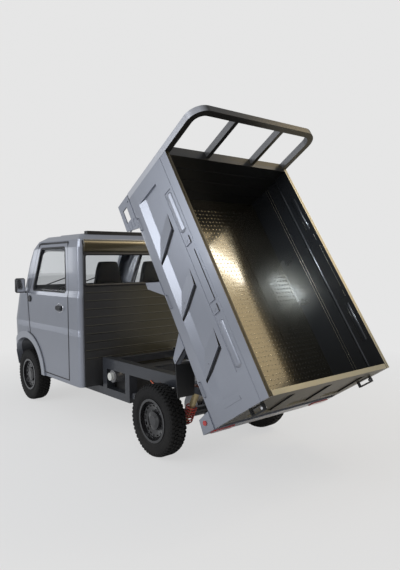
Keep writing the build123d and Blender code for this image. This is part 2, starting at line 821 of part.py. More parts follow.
# Wheels: tyre and steel rim, drawn round the axle line with the outer face towards +Y
half_tyre = tyre_width / 2
half_flange = rim_flange_width / 2
tyre_profile = make_face(Polyline(
    (tyre_bead_radius, -half_flange),
    (rim_flange_radius, -half_flange),
    ((rim_flange_radius + tyre_radius) / 2, -half_tyre),
    (tyre_radius - lug_reach, -half_tyre + lug_depth / 2),
    (tyre_radius - tyre_shoulder, -half_tyre + lug_depth),
    (tyre_radius - lug_depth, -half_tyre + lug_depth + tyre_shoulder),
    (tyre_radius - lug_depth, half_tyre - lug_depth - tyre_shoulder),
    (tyre_radius - tyre_shoulder, half_tyre - lug_depth),
    (tyre_radius - lug_reach, half_tyre - lug_depth / 2),
    ((rim_flange_radius + tyre_radius) / 2, half_tyre),
    (rim_flange_radius, half_flange),
    (tyre_bead_radius, half_flange), close=True))
tyre = revolve(tyre_profile, Axis.Y, 360)
crown = Cylinder(tyre_radius, tyre_width - 2 * lug_depth - 2 * tyre_shoulder - 2 * lug_gap)
crown -= Cylinder(tyre_radius - lug_depth, tyre_width)
tyre += Rot(90, 0, 0) * crown

rim_inner = tyre_bead_radius - seat_gap
barrel_ring = Cylinder(rim_inner, rim_flange_width + 2 * rim_wall) - Cylinder(
    rim_inner - rim_wall, rim_flange_width * 2)
flange_ring = Cylinder(rim_flange_radius, rim_wall) - Cylinder(rim_inner - rim_wall, rim_wall * 2)
flange_at = half_flange + seat_gap + rim_wall / 2
rim = barrel_ring + Pos(0, 0, flange_at) * flange_ring + Pos(0, 0, -flange_at) * flange_ring
disc_profile = make_face(Plane.XZ * Polyline(
    (0, rim_disc_offset),
    (rim_cap_radius, rim_disc_offset),
    (rim_vent_radius, rim_disc_offset + rim_dish),
    (rim_inner - rim_wall / 2, rim_disc_offset),
    (rim_inner - rim_wall / 2, rim_disc_offset + rim_wall),
    (rim_vent_radius, rim_disc_offset + rim_dish + rim_wall),
    (rim_cap_radius, rim_disc_offset + rim_wall),
    (rim_cap_radius * rim_cap_edge_share, rim_disc_offset + rim_wall + rim_cap_height * rim_cap_rise_share),
    (rim_cap_radius * rim_cap_crown_share, rim_disc_offset + rim_wall + rim_cap_height),
    (0, rim_disc_offset + rim_wall + rim_cap_height), close=True))
rim += revolve(disc_profile, Axis.Z)
rim += Pos(0, 0, rim_disc_offset - hub_length / 2) * Cylinder(hub_radius, hub_length)
rim -= Pos(0, 0, -spindle_back - hub_length / 2) * Cylinder(spindle_radius + running_gap, hub_length)
vent = Pos((rim_vent_radius + rim_cap_radius) / 2 + rim_vent_width, 0, rim_disc_offset) * Box(
    rim_vent_width, rim_vent_length, cut_over)
for step in range(rim_vent_count):
    rim -= Rot(0, 0, 360 * step / rim_vent_count) * vent
axle_turn = Rot(-90, 0, 0)
wheel_places = (("front_left", wheelbase, 1), ("front_right", wheelbase, -1), ("rear_left", 0, 1),
                ("rear_right", 0, -1))
for name, at_x, side in wheel_places:
    for kind, shape in (("tyre", tyre), ("rim", axle_turn * rim)):
        placed = Pos(at_x, track / 2, tyre_radius) * shape
        parts[kind + "_" + name] = placed if side > 0 else mirrored(placed)

# Load bed in its own frame: floor with its rails and cross members, hinged on tongues
floor_under = bed_floor_top - bed_floor_thickness
headboard_rear = bed_length - headboard_thickness
inside_half = bed_half_width - bed_wall
bed = {}
bed_floor = block(bed_floor_rear, headboard_rear, -inside_half, inside_half, floor_under,
                  bed_floor_top)
rail_half = bed_rail_width / 2
bed_rails = block(bed_rail_rear, bed_rail_front, bed_rail_y - rail_half, bed_rail_y + rail_half,
                  bed_rail_bottom, floor_under)
tongue = cross_tube(hinge_ear_radius, bed_rail_y - hinge_tongue_thickness / 2,
                    bed_rail_y + hinge_tongue_thickness / 2, bed_hinge_along, bed_hinge_over)
tongue += block(bed_hinge_along - hinge_ear_radius, bed_hinge_along + hinge_ear_radius,
                bed_rail_y - hinge_tongue_thickness / 2, bed_rail_y + hinge_tongue_thickness / 2,
                bed_hinge_over, bed_rail_bottom)
tongue -= cross_tube(hinge_pin_radius + running_gap, 0, big, bed_hinge_along, bed_hinge_over)
bed_floor += pair(bed_rails + tongue)
for share in bed_cross_shares:
    cross_at = bed_length * share
    bed_floor += block(cross_at - bed_cross_width / 2, cross_at + bed_cross_width / 2, -inside_half,
                       inside_half, floor_under - bed_cross_height, floor_under)
eye_cheek = cross_tube(cylinder_eye_radius, cheek_y, cheek_y + cylinder_cheek, cylinder_eye_along,
                       cylinder_eye_over)
eye_cheek += block(cylinder_eye_along - cylinder_eye_radius, cylinder_eye_along + cylinder_eye_radius,
                   cheek_y, cheek_y + cylinder_cheek, cylinder_eye_over, floor_under)
eye_cheek += cross_tube(cylinder_pin_radius, cheek_y + cylinder_cheek, cheek_y + cylinder_cheek
                        + cylinder_cheek, cylinder_eye_along, cylinder_eye_over)
bed_floor += pair(eye_cheek)
bed["bed_floor"] = bed_floor

side = block(0, bed_length, inside_half, bed_half_width, bed_side_bottom, bed_rim)
face_y = bed_half_width
recess_y = bed_half_width - relief
side -= block(recess_rear, recess_front, recess_y, face_y + relief, recess_bottom, recess_top)
ledge = make_face(Plane.YZ * Polyline((face_y, ledge_bottom), (face_y + relief, ledge_bottom),
                                      (face_y + relief, recess_bottom), (recess_y, recess_bottom),
                                      close=True))
side -= extrude(Pos(recess_rear, 0, 0) * ledge, recess_front - recess_rear, dir=(1, 0, 0))
side -= block(0, bed_length, face_y - rim_step_depth, face_y + relief, rim_step, bed_rim)
louvre_run = Vector(louvre_slant, 0, louvre_top - louvre_bottom)
for step in range(3):
    foot = louvre_first + louvre_pitch * step
    wedge = make_face(Polyline((foot, recess_y), (foot + louvre_length, recess_y),
                               (foot, recess_y + louvre_rise), close=True))
    slot = make_face(Polyline((foot - louvre_slot, recess_y - relief / 2), (foot, recess_y - relief / 2),
                              (foot, recess_y + louvre_rise), (foot - louvre_slot, recess_y + louvre_rise),
                              close=True))
    side += extrude(Pos(0, 0, louvre_bottom) * wedge, louvre_run.length, dir=louvre_run)
    side -= extrude(Pos(0, 0, louvre_bottom) * slot, louvre_run.length, dir=louvre_run)
rib_axis_y = face_y + rib_height - rib_radius
for rear in (rib_rear, strip_rear + strip_length + square_pitch):
    rib = Pos(rear + rib_length / 2, rib_axis_y, rib_centre) * Rot(0, 90, 0) * Cylinder(
        rib_radius, rib_length)
    side += rib - block(-big, big, -big, inside_half + bed_wall / 2, -big, big)
for rear in (square_rear, strip_rear + strip_length + square_gap):
    side += block(rear, rear + square_size, recess_y, face_y + square_rise,
                  rib_centre - square_size / 2, rib_centre + square_size / 2)
side += block(strip_rear, strip_rear + strip_length, recess_y, face_y + square_rise / 2,
              rib_centre - strip_height / 2, rib_centre + strip_height / 2)
inside_height = bed_rim - bed_floor_top
for share in inner_step_shares:
    level = bed_floor_top + inside_height * share
    side -= block(bed_floor_rear, headboard_rear, inside_half - inner_step_height,
                  inside_half + inner_step_height, level, level + inner_step_height * 2)
side -= cross_tube(tailgate_pin_radius + running_gap, inside_half - relief, inside_half + relief,
                   tailgate_hinge_inset, tailgate_hinge_height)
bed["bed_side_left"] = side
bed["bed_side_right"] = mirrored(side)

headboard = block(headboard_rear, bed_length, -inside_half, inside_half, floor_under
                  - bed_cross_height, bed_rim)
for share in inner_step_shares:
    level = bed_floor_top + inside_height * share
    headboard -= block(headboard_rear - relief, headboard_rear + inner_step_height, -inside_half,
                       inside_half, level, level + inner_step_height * 2)
bed["bed_headboard"] = headboard

guard_low = bed_rim - guard_tube
outline = make_face(Plane.YZ * Polyline((-guard_half_width, guard_foot), (guard_half_width, guard_foot),
                                        (guard_half_width, guard_height),
                                        (-guard_half_width, guard_height), close=True))
outline = fillet(outline.vertices().sort_by(Axis.Z)[-2:], guard_corner)
inner_half_guard = guard_half_width - guard_tube
hollow = make_face(Plane.YZ * Polyline((-inner_half_guard, guard_foot - guard_tube),
                                       (inner_half_guard, guard_foot - guard_tube),
                                       (inner_half_guard, guard_height - guard_tube),
                                       (-inner_half_guard, guard_height - guard_tube), close=True))
hollow = fillet(hollow.vertices().sort_by(Axis.Z)[-2:], guard_corner - guard_tube)
guard = extrude(Pos(bed_length, 0, 0) * (outline - hollow), guard_depth, dir=(1, 0, 0))
guard += block(bed_length, bed_length + guard_depth, -inner_half_guard, inner_half_guard, guard_low,
               bed_rim)
for bar_y in (-guard_bar_y, guard_bar_y):
    guard += block(bed_length, bed_length + guard_depth, bar_y - guard_bar / 2, bar_y + guard_bar / 2,
                   bed_rim, guard_height - guard_tube)
bed["guard_frame"] = guard

# Light bar below the tailgate, its end panels, red lamps and side reflectors
panel_low = bed_side_bottom - lamp_panel_drop
panel = side_prism(side_face([
    (0, panel_low),
    (lamp_panel_length * lamp_panel_foot_share, panel_low + lamp_panel_lift),
    (lamp_panel_length, bed_side_bottom),
    (0, bed_side_bottom),
]), bed_half_width - lamp_panel_thickness, bed_half_width)
bar_half = bed_half_width - lamp_panel_thickness
light_bar = block(0, light_bar_depth, -bar_half, bar_half, light_bar_top - light_bar_height,
                  light_bar_top)
light_bar += pair(panel)
bed["light_bar"] = light_bar
lamp_y0 = bar_half - lamp_inset
lamp_mid = light_bar_top - light_bar_height / 2
lamp = block(-lamp_proud, -seat_gap, lamp_y0 - lamp_width, lamp_y0, lamp_mid - lamp_height / 2,
             lamp_mid + lamp_height / 2)
lamp = fillet(lamp.edges().filter_by(Axis.X), lamp_height / 4)
reflector = cross_tube(reflector_radius, bed_half_width + seat_gap,
                       bed_half_width + lamp_proud, reflector_along, reflector_over)
bed["tail_lamps"] = pair(lamp + reflector)

# Brackets under the bed sides, and the mud flaps behind the rear wheels
plate_out = bed_half_width - bracket_inset
plate_in = plate_out - bracket_plate
brackets = None
for step in range(2):
    rear = stake_bracket_first + stake_bracket_pitch * step
    front = rear + stake_bracket_length
    tip = bed_side_bottom - stake_bracket_drop
    stake = side_prism(side_face([(rear, bed_side_bottom), (front - stake_bracket_tip, tip),
                                  (front, tip), (front, bed_side_bottom)]), plate_in, plate_out)
    brackets = stake if brackets is None else brackets + stake
front_rear = front_bracket_end - front_bracket_length
front_low = bed_side_bottom - front_bracket_drop
front_plate = side_prism(side_face([
    (front_rear, bed_side_bottom),
    (front_rear + front_bracket_drop / 2, front_low),
    (front_bracket_end, front_low),
    (front_bracket_end, bed_side_bottom),
]), plate_in, plate_out)
window_front = front_bracket_end - front_bracket_margin
window_low = front_low + front_bracket_margin
front_plate -= block(window_front - front_bracket_window_length, window_front, 0, big, window_low,
                     window_low + front_bracket_window_height)
bed["bed_brackets"] = pair(brackets + front_plate)
flap_front = stake_bracket_first - seat_gap
flap_out = inside_half - seat_gap
bed["mud_flaps"] = pair(block(flap_front - flap_thickness, flap_front, flap_out - flap_width,
                              flap_out, bed_side_bottom - flap_drop, floor_under))

# Tailgate between the sides, with pressed slanted panels, pins and latches
gate_half = inside_half - tailgate_gap
gate = block(0, tailgate_thickness, -gate_half, gate_half, tailgate_bottom, bed_rim)
panel_pitch = (2 * gate_half - tailgate_panel_margin) / tailgate_panel_count
panel_width = panel_pitch - tailgate_panel_margin - tailgate_slant
panel_low = tailgate_bottom + tailgate_panel_margin
panel_high = bed_rim - tailgate_panel_top_margin
for step in range(tailgate_panel_count):
    y0 = -gate_half + tailgate_panel_margin + panel_pitch * step
    gate -= across_prism([(y0, panel_low), (y0 + panel_width, panel_low),
                          (y0 + panel_width + tailgate_slant, panel_high),
                          (y0 + tailgate_slant, panel_high)], -tailgate_recess, tailgate_recess)
gate += pair(cross_tube(tailgate_pin_radius, gate_half, inside_half + relief / 2,
                        tailgate_hinge_inset, tailgate_hinge_height))
latch = block(-latch_proud, 0, latch_y - latch_width / 2, latch_y + latch_width / 2,
              latch_height - latch_length / 2, latch_height + latch_length / 2)
latch -= block(-latch_proud + latch_bar, -latch_bar / 2, 0, big,
               latch_height - latch_length / 2 + latch_bar, latch_height + latch_length / 2 - latch_bar)
latch -= block(-big, -latch_bar / 2, latch_y - latch_width / 2 + latch_bar,
               latch_y + latch_width / 2 - latch_bar, latch_height - latch_length,
               latch_height + latch_length / 2 - latch_bar)
bed["tailgate"] = gate
bed["tailgate_latches"] = pair(Pos(-seat_gap, 0, 0) * latch)

hinge_place = Pos(hinge_x, 0, hinge_height) * Rot(0, -tip_angle, 0)
for name, shape in bed.items():
    parts[name] = hinge_place * Pos(-bed_hinge_along, 0, -bed_hinge_over) * shape

# Tipping cylinder from the chassis cheeks to the raised bed
def bed_point(along, over, angle):
    turn_by = math.radians(angle)
    da = along - bed_hinge_along
    dh = over - bed_hinge_over
    return Vector(hinge_x + da * math.cos(turn_by) - dh * math.sin(turn_by), 0,
                  hinge_height + da * math.sin(turn_by) + dh * math.cos(turn_by))


foot_point = Vector(cylinder_foot_x, 0, cylinder_foot_height)
eye_raised = bed_point(cylinder_eye_along, cylinder_eye_over, tip_angle)
eye_lowered = bed_point(cylinder_eye_along, cylinder_eye_over, 0)
open_length = (eye_raised - foot_point).length
closed_length = (eye_lowered - foot_point).length
cylinder_plane = Plane(origin=foot_point, x_dir=(0, 1, 0), z_dir=eye_raised - foot_point)
eye_ring = Rot(0, 90, 0) * Cylinder(cylinder_eye_radius, cylinder_eye_width)
eye_hole = Rot(0, 90, 0) * Cylinder(cylinder_pin_radius + running_gap, cylinder_eye_width * 2)
barrel_bore = cylinder_rod_radius + running_gap
barrel_start = cylinder_neck
barrel = Pos(0, 0, (barrel_start + cylinder_barrel_length) / 2) * Cylinder(
    cylinder_barrel_radius, cylinder_barrel_length - barrel_start)
barrel += Pos(0, 0, barrel_start / 2) * Box(cylinder_eye_width, cylinder_eye_radius, barrel_start)
barrel += eye_ring
bore_start = barrel_start + cylinder_barrel_radius / 2
barrel -= Pos(0, 0, bore_start + cylinder_barrel_length / 2) * Cylinder(barrel_bore,
                                                                       cylinder_barrel_length)
barrel -= eye_hole
rod_length = closed_length - bore_start - cylinder_side_gap
rod = Pos(0, 0, open_length - rod_length / 2) * Cylinder(cylinder_rod_radius, rod_length)
rod += Pos(0, 0, open_length) * eye_ring
rod -= Pos(0, 0, open_length) * eye_hole
parts["cylinder_barrel"] = cylinder_plane * barrel
parts["cylinder_rod"] = cylinder_plane * rod

# Shift along X so that the origin is under the middle of the whole length
rear_reach = bed_point(0, bed_rim, tip_angle).X
front_reach = cab_nose + cab_nose_bulge
middle_x = (rear_reach + front_reach) / 2
os.makedirs("parts", exist_ok=True)
for name, shape in parts.items():
    export_step(Pos(-middle_x, 0, 0) * shape, "parts/" + name + ".step")
box = Compound(children=[Pos(-middle_x, 0, 0) * shape for shape in parts.values()]).bounding_box()
print("middle", round(middle_x, 3), "box", box.min, box.max)
print("cylinder", round(closed_length, 1), round(open_length, 1), eye_raised, eye_lowered)
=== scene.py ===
# %% [markdown]
# # Electric mini tipper truck with its bed raised
# The rigid model is made elsewhere and arrives here as a fixed frame, in metres, with +X forward, +Y to
# the truck's left and +Z up. This script gives it paint, rubber, glass and light, and adds what a solid
# model leaves out: tyre tread, the floor's raised dots, seals, springs, wires and padded seats.

# %% load the frame
import bpy
import bmesh
import json
import math
from mathutils import Matrix, Vector


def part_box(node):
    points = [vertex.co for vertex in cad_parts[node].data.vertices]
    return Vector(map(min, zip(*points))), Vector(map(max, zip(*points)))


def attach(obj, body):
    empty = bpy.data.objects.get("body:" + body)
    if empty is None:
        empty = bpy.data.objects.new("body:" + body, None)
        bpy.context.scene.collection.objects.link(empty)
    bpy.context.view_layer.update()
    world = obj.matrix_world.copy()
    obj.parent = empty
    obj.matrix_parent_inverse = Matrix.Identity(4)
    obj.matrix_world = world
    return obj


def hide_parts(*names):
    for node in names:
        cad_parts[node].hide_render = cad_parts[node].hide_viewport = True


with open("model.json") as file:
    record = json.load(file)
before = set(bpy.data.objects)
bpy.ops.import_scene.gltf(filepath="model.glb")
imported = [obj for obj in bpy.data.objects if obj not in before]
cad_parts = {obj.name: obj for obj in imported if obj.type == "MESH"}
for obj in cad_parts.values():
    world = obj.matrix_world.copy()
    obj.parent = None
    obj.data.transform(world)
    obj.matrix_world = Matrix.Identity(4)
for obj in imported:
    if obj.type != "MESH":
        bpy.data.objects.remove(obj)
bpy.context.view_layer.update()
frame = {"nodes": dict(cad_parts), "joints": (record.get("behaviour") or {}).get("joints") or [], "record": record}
nodes = frame["nodes"]
joints = {joint["name"]: joint for joint in frame["joints"]}
scene = bpy.context.scene

# %% [markdown]
# The camera comes first, because every later choice is judged through it. The photograph was taken from
# behind the truck and to its left, at about chest height. A lens is easiest to match by its width in
# pixels: the sensor is 36 mm wide, so the focal length is 36 times the lens's pixels over 400.

# %% camera at the photograph's viewpoint
photo_width = 400
lens_pixels = 536.8
camera_place = Vector((-4.098, 2.858, 1.450))
camera_yaw = math.radians(-39.83)
camera_pitch = math.radians(-2.42)
camera_roll = math.radians(-0.63)
camera_data = bpy.data.cameras.new("camera")
camera_data.sensor_fit = "HORIZONTAL"
camera_data.sensor_width = 36
camera_data.lens = camera_data.sensor_width * lens_pixels / photo_width
camera = bpy.data.objects.new("camera", camera_data)
looking = Vector((math.cos(camera_pitch) * math.cos(camera_yaw),
                  math.cos(camera_pitch) * math.sin(camera_yaw), math.sin(camera_pitch)))
turn = looking.to_track_quat("-Z", "Y").to_matrix().to_4x4()
camera.matrix_world = Matrix.Translation(camera_place) @ turn @ Matrix.Rotation(camera_roll, 4, "Z")
scene.collection.objects.link(camera)
scene.camera = camera
scene.view_settings.view_transform = "Standard"
print("lens", round(camera_data.lens, 2), "mm")

# %% [markdown]
# Node trees are wired by a few small helpers. A mask is a value from 0 to 1 between two limits, and a
# distance is read from Object coordinates, which are the truck's own because every piece sits at the
# origin.

# %% helpers for shader nodes and mesh objects
def set_inputs(node, values):
    for label, value in values.items():
        node.inputs[label].default_value = value


def new_material(name):
    material = bpy.data.materials.new(name)
    material.use_nodes = True
    return material, material.node_tree, material.node_tree.nodes["Principled BSDF"]


def mesh_object(name, bm):
    mesh = bpy.data.meshes.new(name)
    bm.to_mesh(mesh)
    bm.free()
    return bpy.data.objects.new(name, mesh)


def math_node(tree, operation, first, second):
    node = tree.nodes.new("ShaderNodeMath")
    node.operation = operation
    for socket, value in zip(node.inputs, (first, second)):
        if hasattr(value, "is_output"):
            tree.links.new(value, socket)
        else:
            socket.default_value = value
    return node.outputs[0]


def mix_shaders(tree, mask, first, second):
    mixer = tree.nodes.new("ShaderNodeMixShader")
    for socket, source in zip(mixer.inputs, (mask, first, second)):
        tree.links.new(source, socket)
    return mixer.outputs["Shader"]


def step_mask(tree, value, low, high, least=0.0):
    step = tree.nodes.new("ShaderNodeMapRange")
    set_inputs(step, {"From Min": low, "From Max": high, "To Min": least})
    tree.links.new(value, step.inputs["Value"])
    return step.outputs[0]


def object_place(tree):
    return tree.nodes.new("ShaderNodeTexCoord").outputs["Object"]


def axis_distance(tree, axis):
    parts = tree.nodes.new("ShaderNodeSeparateXYZ")
    tree.links.new(object_place(tree), parts.inputs[0])
    return parts.outputs[axis]


# %% [markdown]
# The stage is a wide pale floor under a pale world, like a photographer's sweep. A camera ray that
# meets the world sees a plain grey of its own, and the floor fades into the same grey with distance, so
# the backdrop matches the picture without one more lamp on the truck. Soft lamps do the lighting: a wide
# one from the left, two low ones that the pressed ledges reflect, two warm ones behind the right side
# that put gold and a bright streak on the bed's glossy floor, and a narrow cold one for a glint there.

# %% floor, world and soft lamps
backdrop_grey = 0.79
backdrop_colour = (backdrop_grey, backdrop_grey, backdrop_grey, 1)
floor_reach = 60
fade_near, fade_far, fade_least = 2.2, 5.0, 0.72
bm = bmesh.new()
bmesh.ops.create_grid(bm, x_segments=1, y_segments=1, size=floor_reach)
floor = mesh_object("floor", bm)
scene.collection.objects.link(floor)
floor_material, floor_tree, floor_shader = new_material("floor_pale")
floor.data.materials.append(floor_material)
set_inputs(floor_shader, {"Base Color": backdrop_colour, "Roughness": 0.9})
plain = floor_tree.nodes.new("ShaderNodeEmission")
set_inputs(plain, {"Color": backdrop_colour})
span = floor_tree.nodes.new("ShaderNodeVectorMath")
span.operation = "LENGTH"
floor_tree.links.new(object_place(floor_tree), span.inputs[0])
fade = step_mask(floor_tree, span.outputs["Value"], fade_near, fade_far, fade_least)
floor_ray = floor_tree.nodes.new("ShaderNodeLightPath").outputs["Is Camera Ray"]
floor_mix = mix_shaders(floor_tree, math_node(floor_tree, "MULTIPLY", fade, floor_ray),
                        floor_shader.outputs["BSDF"], plain.outputs["Emission"])
floor_tree.links.new(floor_mix, floor_tree.nodes["Material Output"].inputs["Surface"])

world = bpy.data.worlds.new("studio")
scene.world = world
world.use_nodes = True
sky = world.node_tree
lit = sky.nodes["Background"]
set_inputs(lit, {"Color": (0.95, 0.97, 1.0, 1), "Strength": 0.50})
seen = sky.nodes.new("ShaderNodeBackground")
set_inputs(seen, {"Color": backdrop_colour, "Strength": 1.0})
sky_ray = sky.nodes.new("ShaderNodeLightPath").outputs["Is Camera Ray"]
sky_mix = mix_shaders(sky, sky_ray, lit.outputs["Background"], seen.outputs["Background"])
sky.links.new(sky_mix, sky.nodes["World Output"].inputs["Surface"])


def soft_lamp(name, place, aim, width, height, power, colour=(1, 1, 1)):
    data = bpy.data.lights.new(name, "AREA")
    data.shape = "RECTANGLE"
    data.size = width
    data.size_y = height
    data.energy = power
    data.color = colour
    lamp = bpy.data.objects.new(name, data)
    aim_turn = (Vector(aim) - Vector(place)).to_track_quat("-Z", "Y").to_matrix().to_4x4()
    lamp.matrix_world = Matrix.Translation(place) @ aim_turn
    scene.collection.objects.link(lamp)
    return lamp


cool_white = (0.93, 0.96, 1.0)
soft_lamp("lamp_left", (-0.5, 6.5, 4.2), (0, 0, 0.9), 4.0, 2.5, 110, cool_white)
soft_lamp("lamp_ledge", (1.95, 4.60, 2.40), (-1.16, 0.63, 1.30), 1.6, 2.0, 36, cool_white)
soft_lamp("lamp_waist", (6.9, 3.36, 1.60), (1.0, 0.62, 0.85), 0.9, 0.7, 5, cool_white)
soft_lamp("lamp_warm", (-2.95, -3.15, 4.05), (-1.2, 0, 1.2), 2.6, 2.8, 52, (1.0, 0.80, 0.50))
soft_lamp("lamp_streak", (-2.34, -2.67, 4.06), (-1.02, 0.03, 1.43), 0.20, 0.75, 10, (1.0, 0.97, 0.92))
glint = soft_lamp("lamp_glint", (-2.2, 1.7, 3.0), (-1.25, -0.6, 1.3), 0.16, 0.50, 1.1, (0.80, 0.90, 1.0))
glint.data.spread = math.radians(28)
print("lamps", len(bpy.data.lights))

# %% [markdown]
# Materials share a few effects, so each effect is a node group that is built once. "Mottle" varies a
# colour softly, "soil" gives a mask that thickens towards the ground, and "grain" is a fine height for a
# bump. They read Object coordinates, so one pattern runs on from piece to piece at its real scale.

# %% shared effects as node groups
def effect_group(name, inputs, outputs):
    tree = bpy.data.node_groups.new(name, "ShaderNodeTree")
    for label, kind, value in inputs:
        socket = tree.interface.new_socket(name=label, in_out="INPUT", socket_type=kind)
        socket.default_value = value
    for label, kind in outputs:
        tree.interface.new_socket(name=label, in_out="OUTPUT", socket_type=kind)
    return tree, tree.nodes.new("NodeGroupInput"), tree.nodes.new("NodeGroupOutput")


def noise_node(tree, coordinates, scale, detail):
    node = tree.nodes.new("ShaderNodeTexNoise")
    node.inputs["Detail"].default_value = detail
    tree.links.new(coordinates, node.inputs["Vector"])
    if hasattr(scale, "is_output"):
        tree.links.new(scale, node.inputs["Scale"])
    else:
        node.inputs["Scale"].default_value = scale
    return node.outputs["Fac"]


number = "NodeSocketFloat"
mottle_tree, mottle_in, mottle_out = effect_group(
    "mottle", [("Colour", "NodeSocketColor", (0.5, 0.5, 0.5, 1)), ("Amount", number, 0.1),
               ("Scale", number, 5.0)], [("Colour", "NodeSocketColor")])
wide = noise_node(mottle_tree, object_place(mottle_tree), mottle_in.outputs["Scale"], 3.0)
swing = math_node(mottle_tree, "MULTIPLY", math_node(mottle_tree, "SUBTRACT", wide, 0.5),
                  mottle_in.outputs["Amount"])
gain = math_node(mottle_tree, "ADD", swing, 1.0)
tint = mottle_tree.nodes.new("ShaderNodeVectorMath")
tint.operation = "SCALE"
mottle_tree.links.new(mottle_in.outputs["Colour"], tint.inputs[0])
mottle_tree.links.new(gain, tint.inputs["Scale"])
mottle_tree.links.new(tint.outputs["Vector"], mottle_out.inputs["Colour"])

soil_tree, soil_in, soil_out = effect_group(
    "soil", [("Amount", number, 0.3), ("Top", number, 0.7)], [("Mask", number)])
fall = soil_tree.nodes.new("ShaderNodeMapRange")
set_inputs(fall, {"To Min": 1.0, "To Max": 0.0})
soil_tree.links.new(axis_distance(soil_tree, "Z"), fall.inputs["Value"])
soil_tree.links.new(soil_in.outputs["Top"], fall.inputs["From Max"])
cloud = noise_node(soil_tree, object_place(soil_tree), 14.0, 6.0)
soil_mask = math_node(soil_tree, "MULTIPLY", math_node(soil_tree, "MULTIPLY", fall.outputs[0], cloud),
                      soil_in.outputs["Amount"])
soil_tree.links.new(soil_mask, soil_out.inputs["Mask"])

grain_tree, grain_in, grain_out = effect_group("grain", [("Scale", number, 300.0)], [("Height", number)])
grain_noise = noise_node(grain_tree, object_place(grain_tree), grain_in.outputs["Scale"], 2.0)
grain_tree.links.new(grain_noise, grain_out.inputs["Height"])
print("effects", [tree.name for tree in bpy.data.node_groups])

# %% [markdown]
# A finish is a Principled shader fed by those groups. The colour goes through the mottle, then is mixed
# with dust by the soil mask. The bump takes the grain's height. Pressed and welded steel has no sharp
# edge, so a Bevel node rounds the light on every edge by a millimetre or two. A layered finish puts one
# over another by a mask: the bed's sides are silver outside and black inside, and their rim carries a
# painted reflection of warm light, bronze on the left and pale gold on the right.

# %% one function for every finish
dust_colour = (0.30, 0.27, 0.23, 1)
coat_roughness = 0.06
grain_height = 0.001
crease_low, crease_high, crease_depth = 0.790, 0.848, 0.011


def add_group(tree, group, values):
    node = tree.nodes.new("ShaderNodeGroup")
    node.node_tree = group
    set_inputs(node, values)
    return node


def add_bump(tree, height, strength, distance, under):
    bump = tree.nodes.new("ShaderNodeBump")
    set_inputs(bump, {"Strength": strength, "Distance": distance})
    tree.links.new(height, bump.inputs["Height"])
    if under:
        tree.links.new(under, bump.inputs["Normal"])
    return bump.outputs["Normal"]


def painted(tree, shader, colour, metallic, roughness, coat=0.0, mottle=0.12, mottle_scale=5.0, grain=0.02,
            grain_scale=300.0, soil=0.25, rounding=0.0015, crease=False, specular=0.5):
    set_inputs(shader, {"Metallic": metallic, "Coat Weight": coat, "Coat Roughness": coat_roughness,
                        "Specular IOR Level": specular})
    tinted = add_group(tree, mottle_tree, {"Colour": (*colour, 1), "Amount": mottle, "Scale": mottle_scale})
    dusty = add_group(tree, soil_tree, {"Amount": soil})
    mixed = tree.nodes.new("ShaderNodeMix")
    mixed.data_type = "RGBA"
    mixed.inputs["B"].default_value = dust_colour
    tree.links.new(dusty.outputs["Mask"], mixed.inputs["Factor"])
    tree.links.new(tinted.outputs["Colour"], mixed.inputs["A"])
    tree.links.new(mixed.outputs["Result"], shader.inputs["Base Color"])
    worn = math_node(tree, "MULTIPLY", dusty.outputs["Mask"], 0.5)
    tree.links.new(math_node(tree, "ADD", worn, roughness), shader.inputs["Roughness"])
    normal = None
    if rounding:
        rounded = tree.nodes.new("ShaderNodeBevel")
        set_inputs(rounded, {"Radius": rounding})
        normal = rounded.outputs["Normal"]
    if crease:
        fold = step_mask(tree, axis_distance(tree, "Z"), crease_high, crease_low)
        normal = add_bump(tree, fold, 1.0, crease_depth, normal)
    texture = add_group(tree, grain_tree, {"Scale": grain_scale})
    normal = add_bump(tree, texture.outputs["Height"], grain, grain_height, normal)
    tree.links.new(normal, shader.inputs["Normal"])


def finish(name, *values, **more):
    material, tree, shader = new_material(name)
    painted(tree, shader, *values, **more)
    return material


def layered(name, base, *layers):
    """A finish with others over it, each as (values, mask function)."""
    material = finish(name, **base)
    tree = material.node_tree
    surface = tree.nodes["Principled BSDF"].outputs["BSDF"]
    for values, mask in layers:
        over = tree.nodes.new("ShaderNodeBsdfPrincipled")
        painted(tree, over, **values)
        surface = mix_shaders(tree, mask(tree), surface, over.outputs["BSDF"])
    tree.links.new(surface, tree.nodes["Material Output"].inputs["Surface"])
    return material


def facing_mask(way, low, high):
    """A mask function: 0 to 1 as a face turns towards a direction, from one cosine to another."""
    def mask(tree):
        facing = tree.nodes.new("ShaderNodeVectorMath")
        facing.operation = "DOT_PRODUCT"
        facing.inputs[1].default_value = way
        tree.links.new(tree.nodes.new("ShaderNodeTexCoord").outputs["Normal"], facing.inputs[0])
        return step_mask(tree, facing.outputs["Value"], low, high)
    return mask


def side_mask(low, high):
    """A mask function: 0 to 1 across the truck, from one Y to another."""
    return lambda tree: step_mask(tree, axis_distance(tree, "Y"), low, high)


def both_masks(first, second):
    return lambda tree: math_node(tree, "MULTIPLY", first(tree), second(tree))


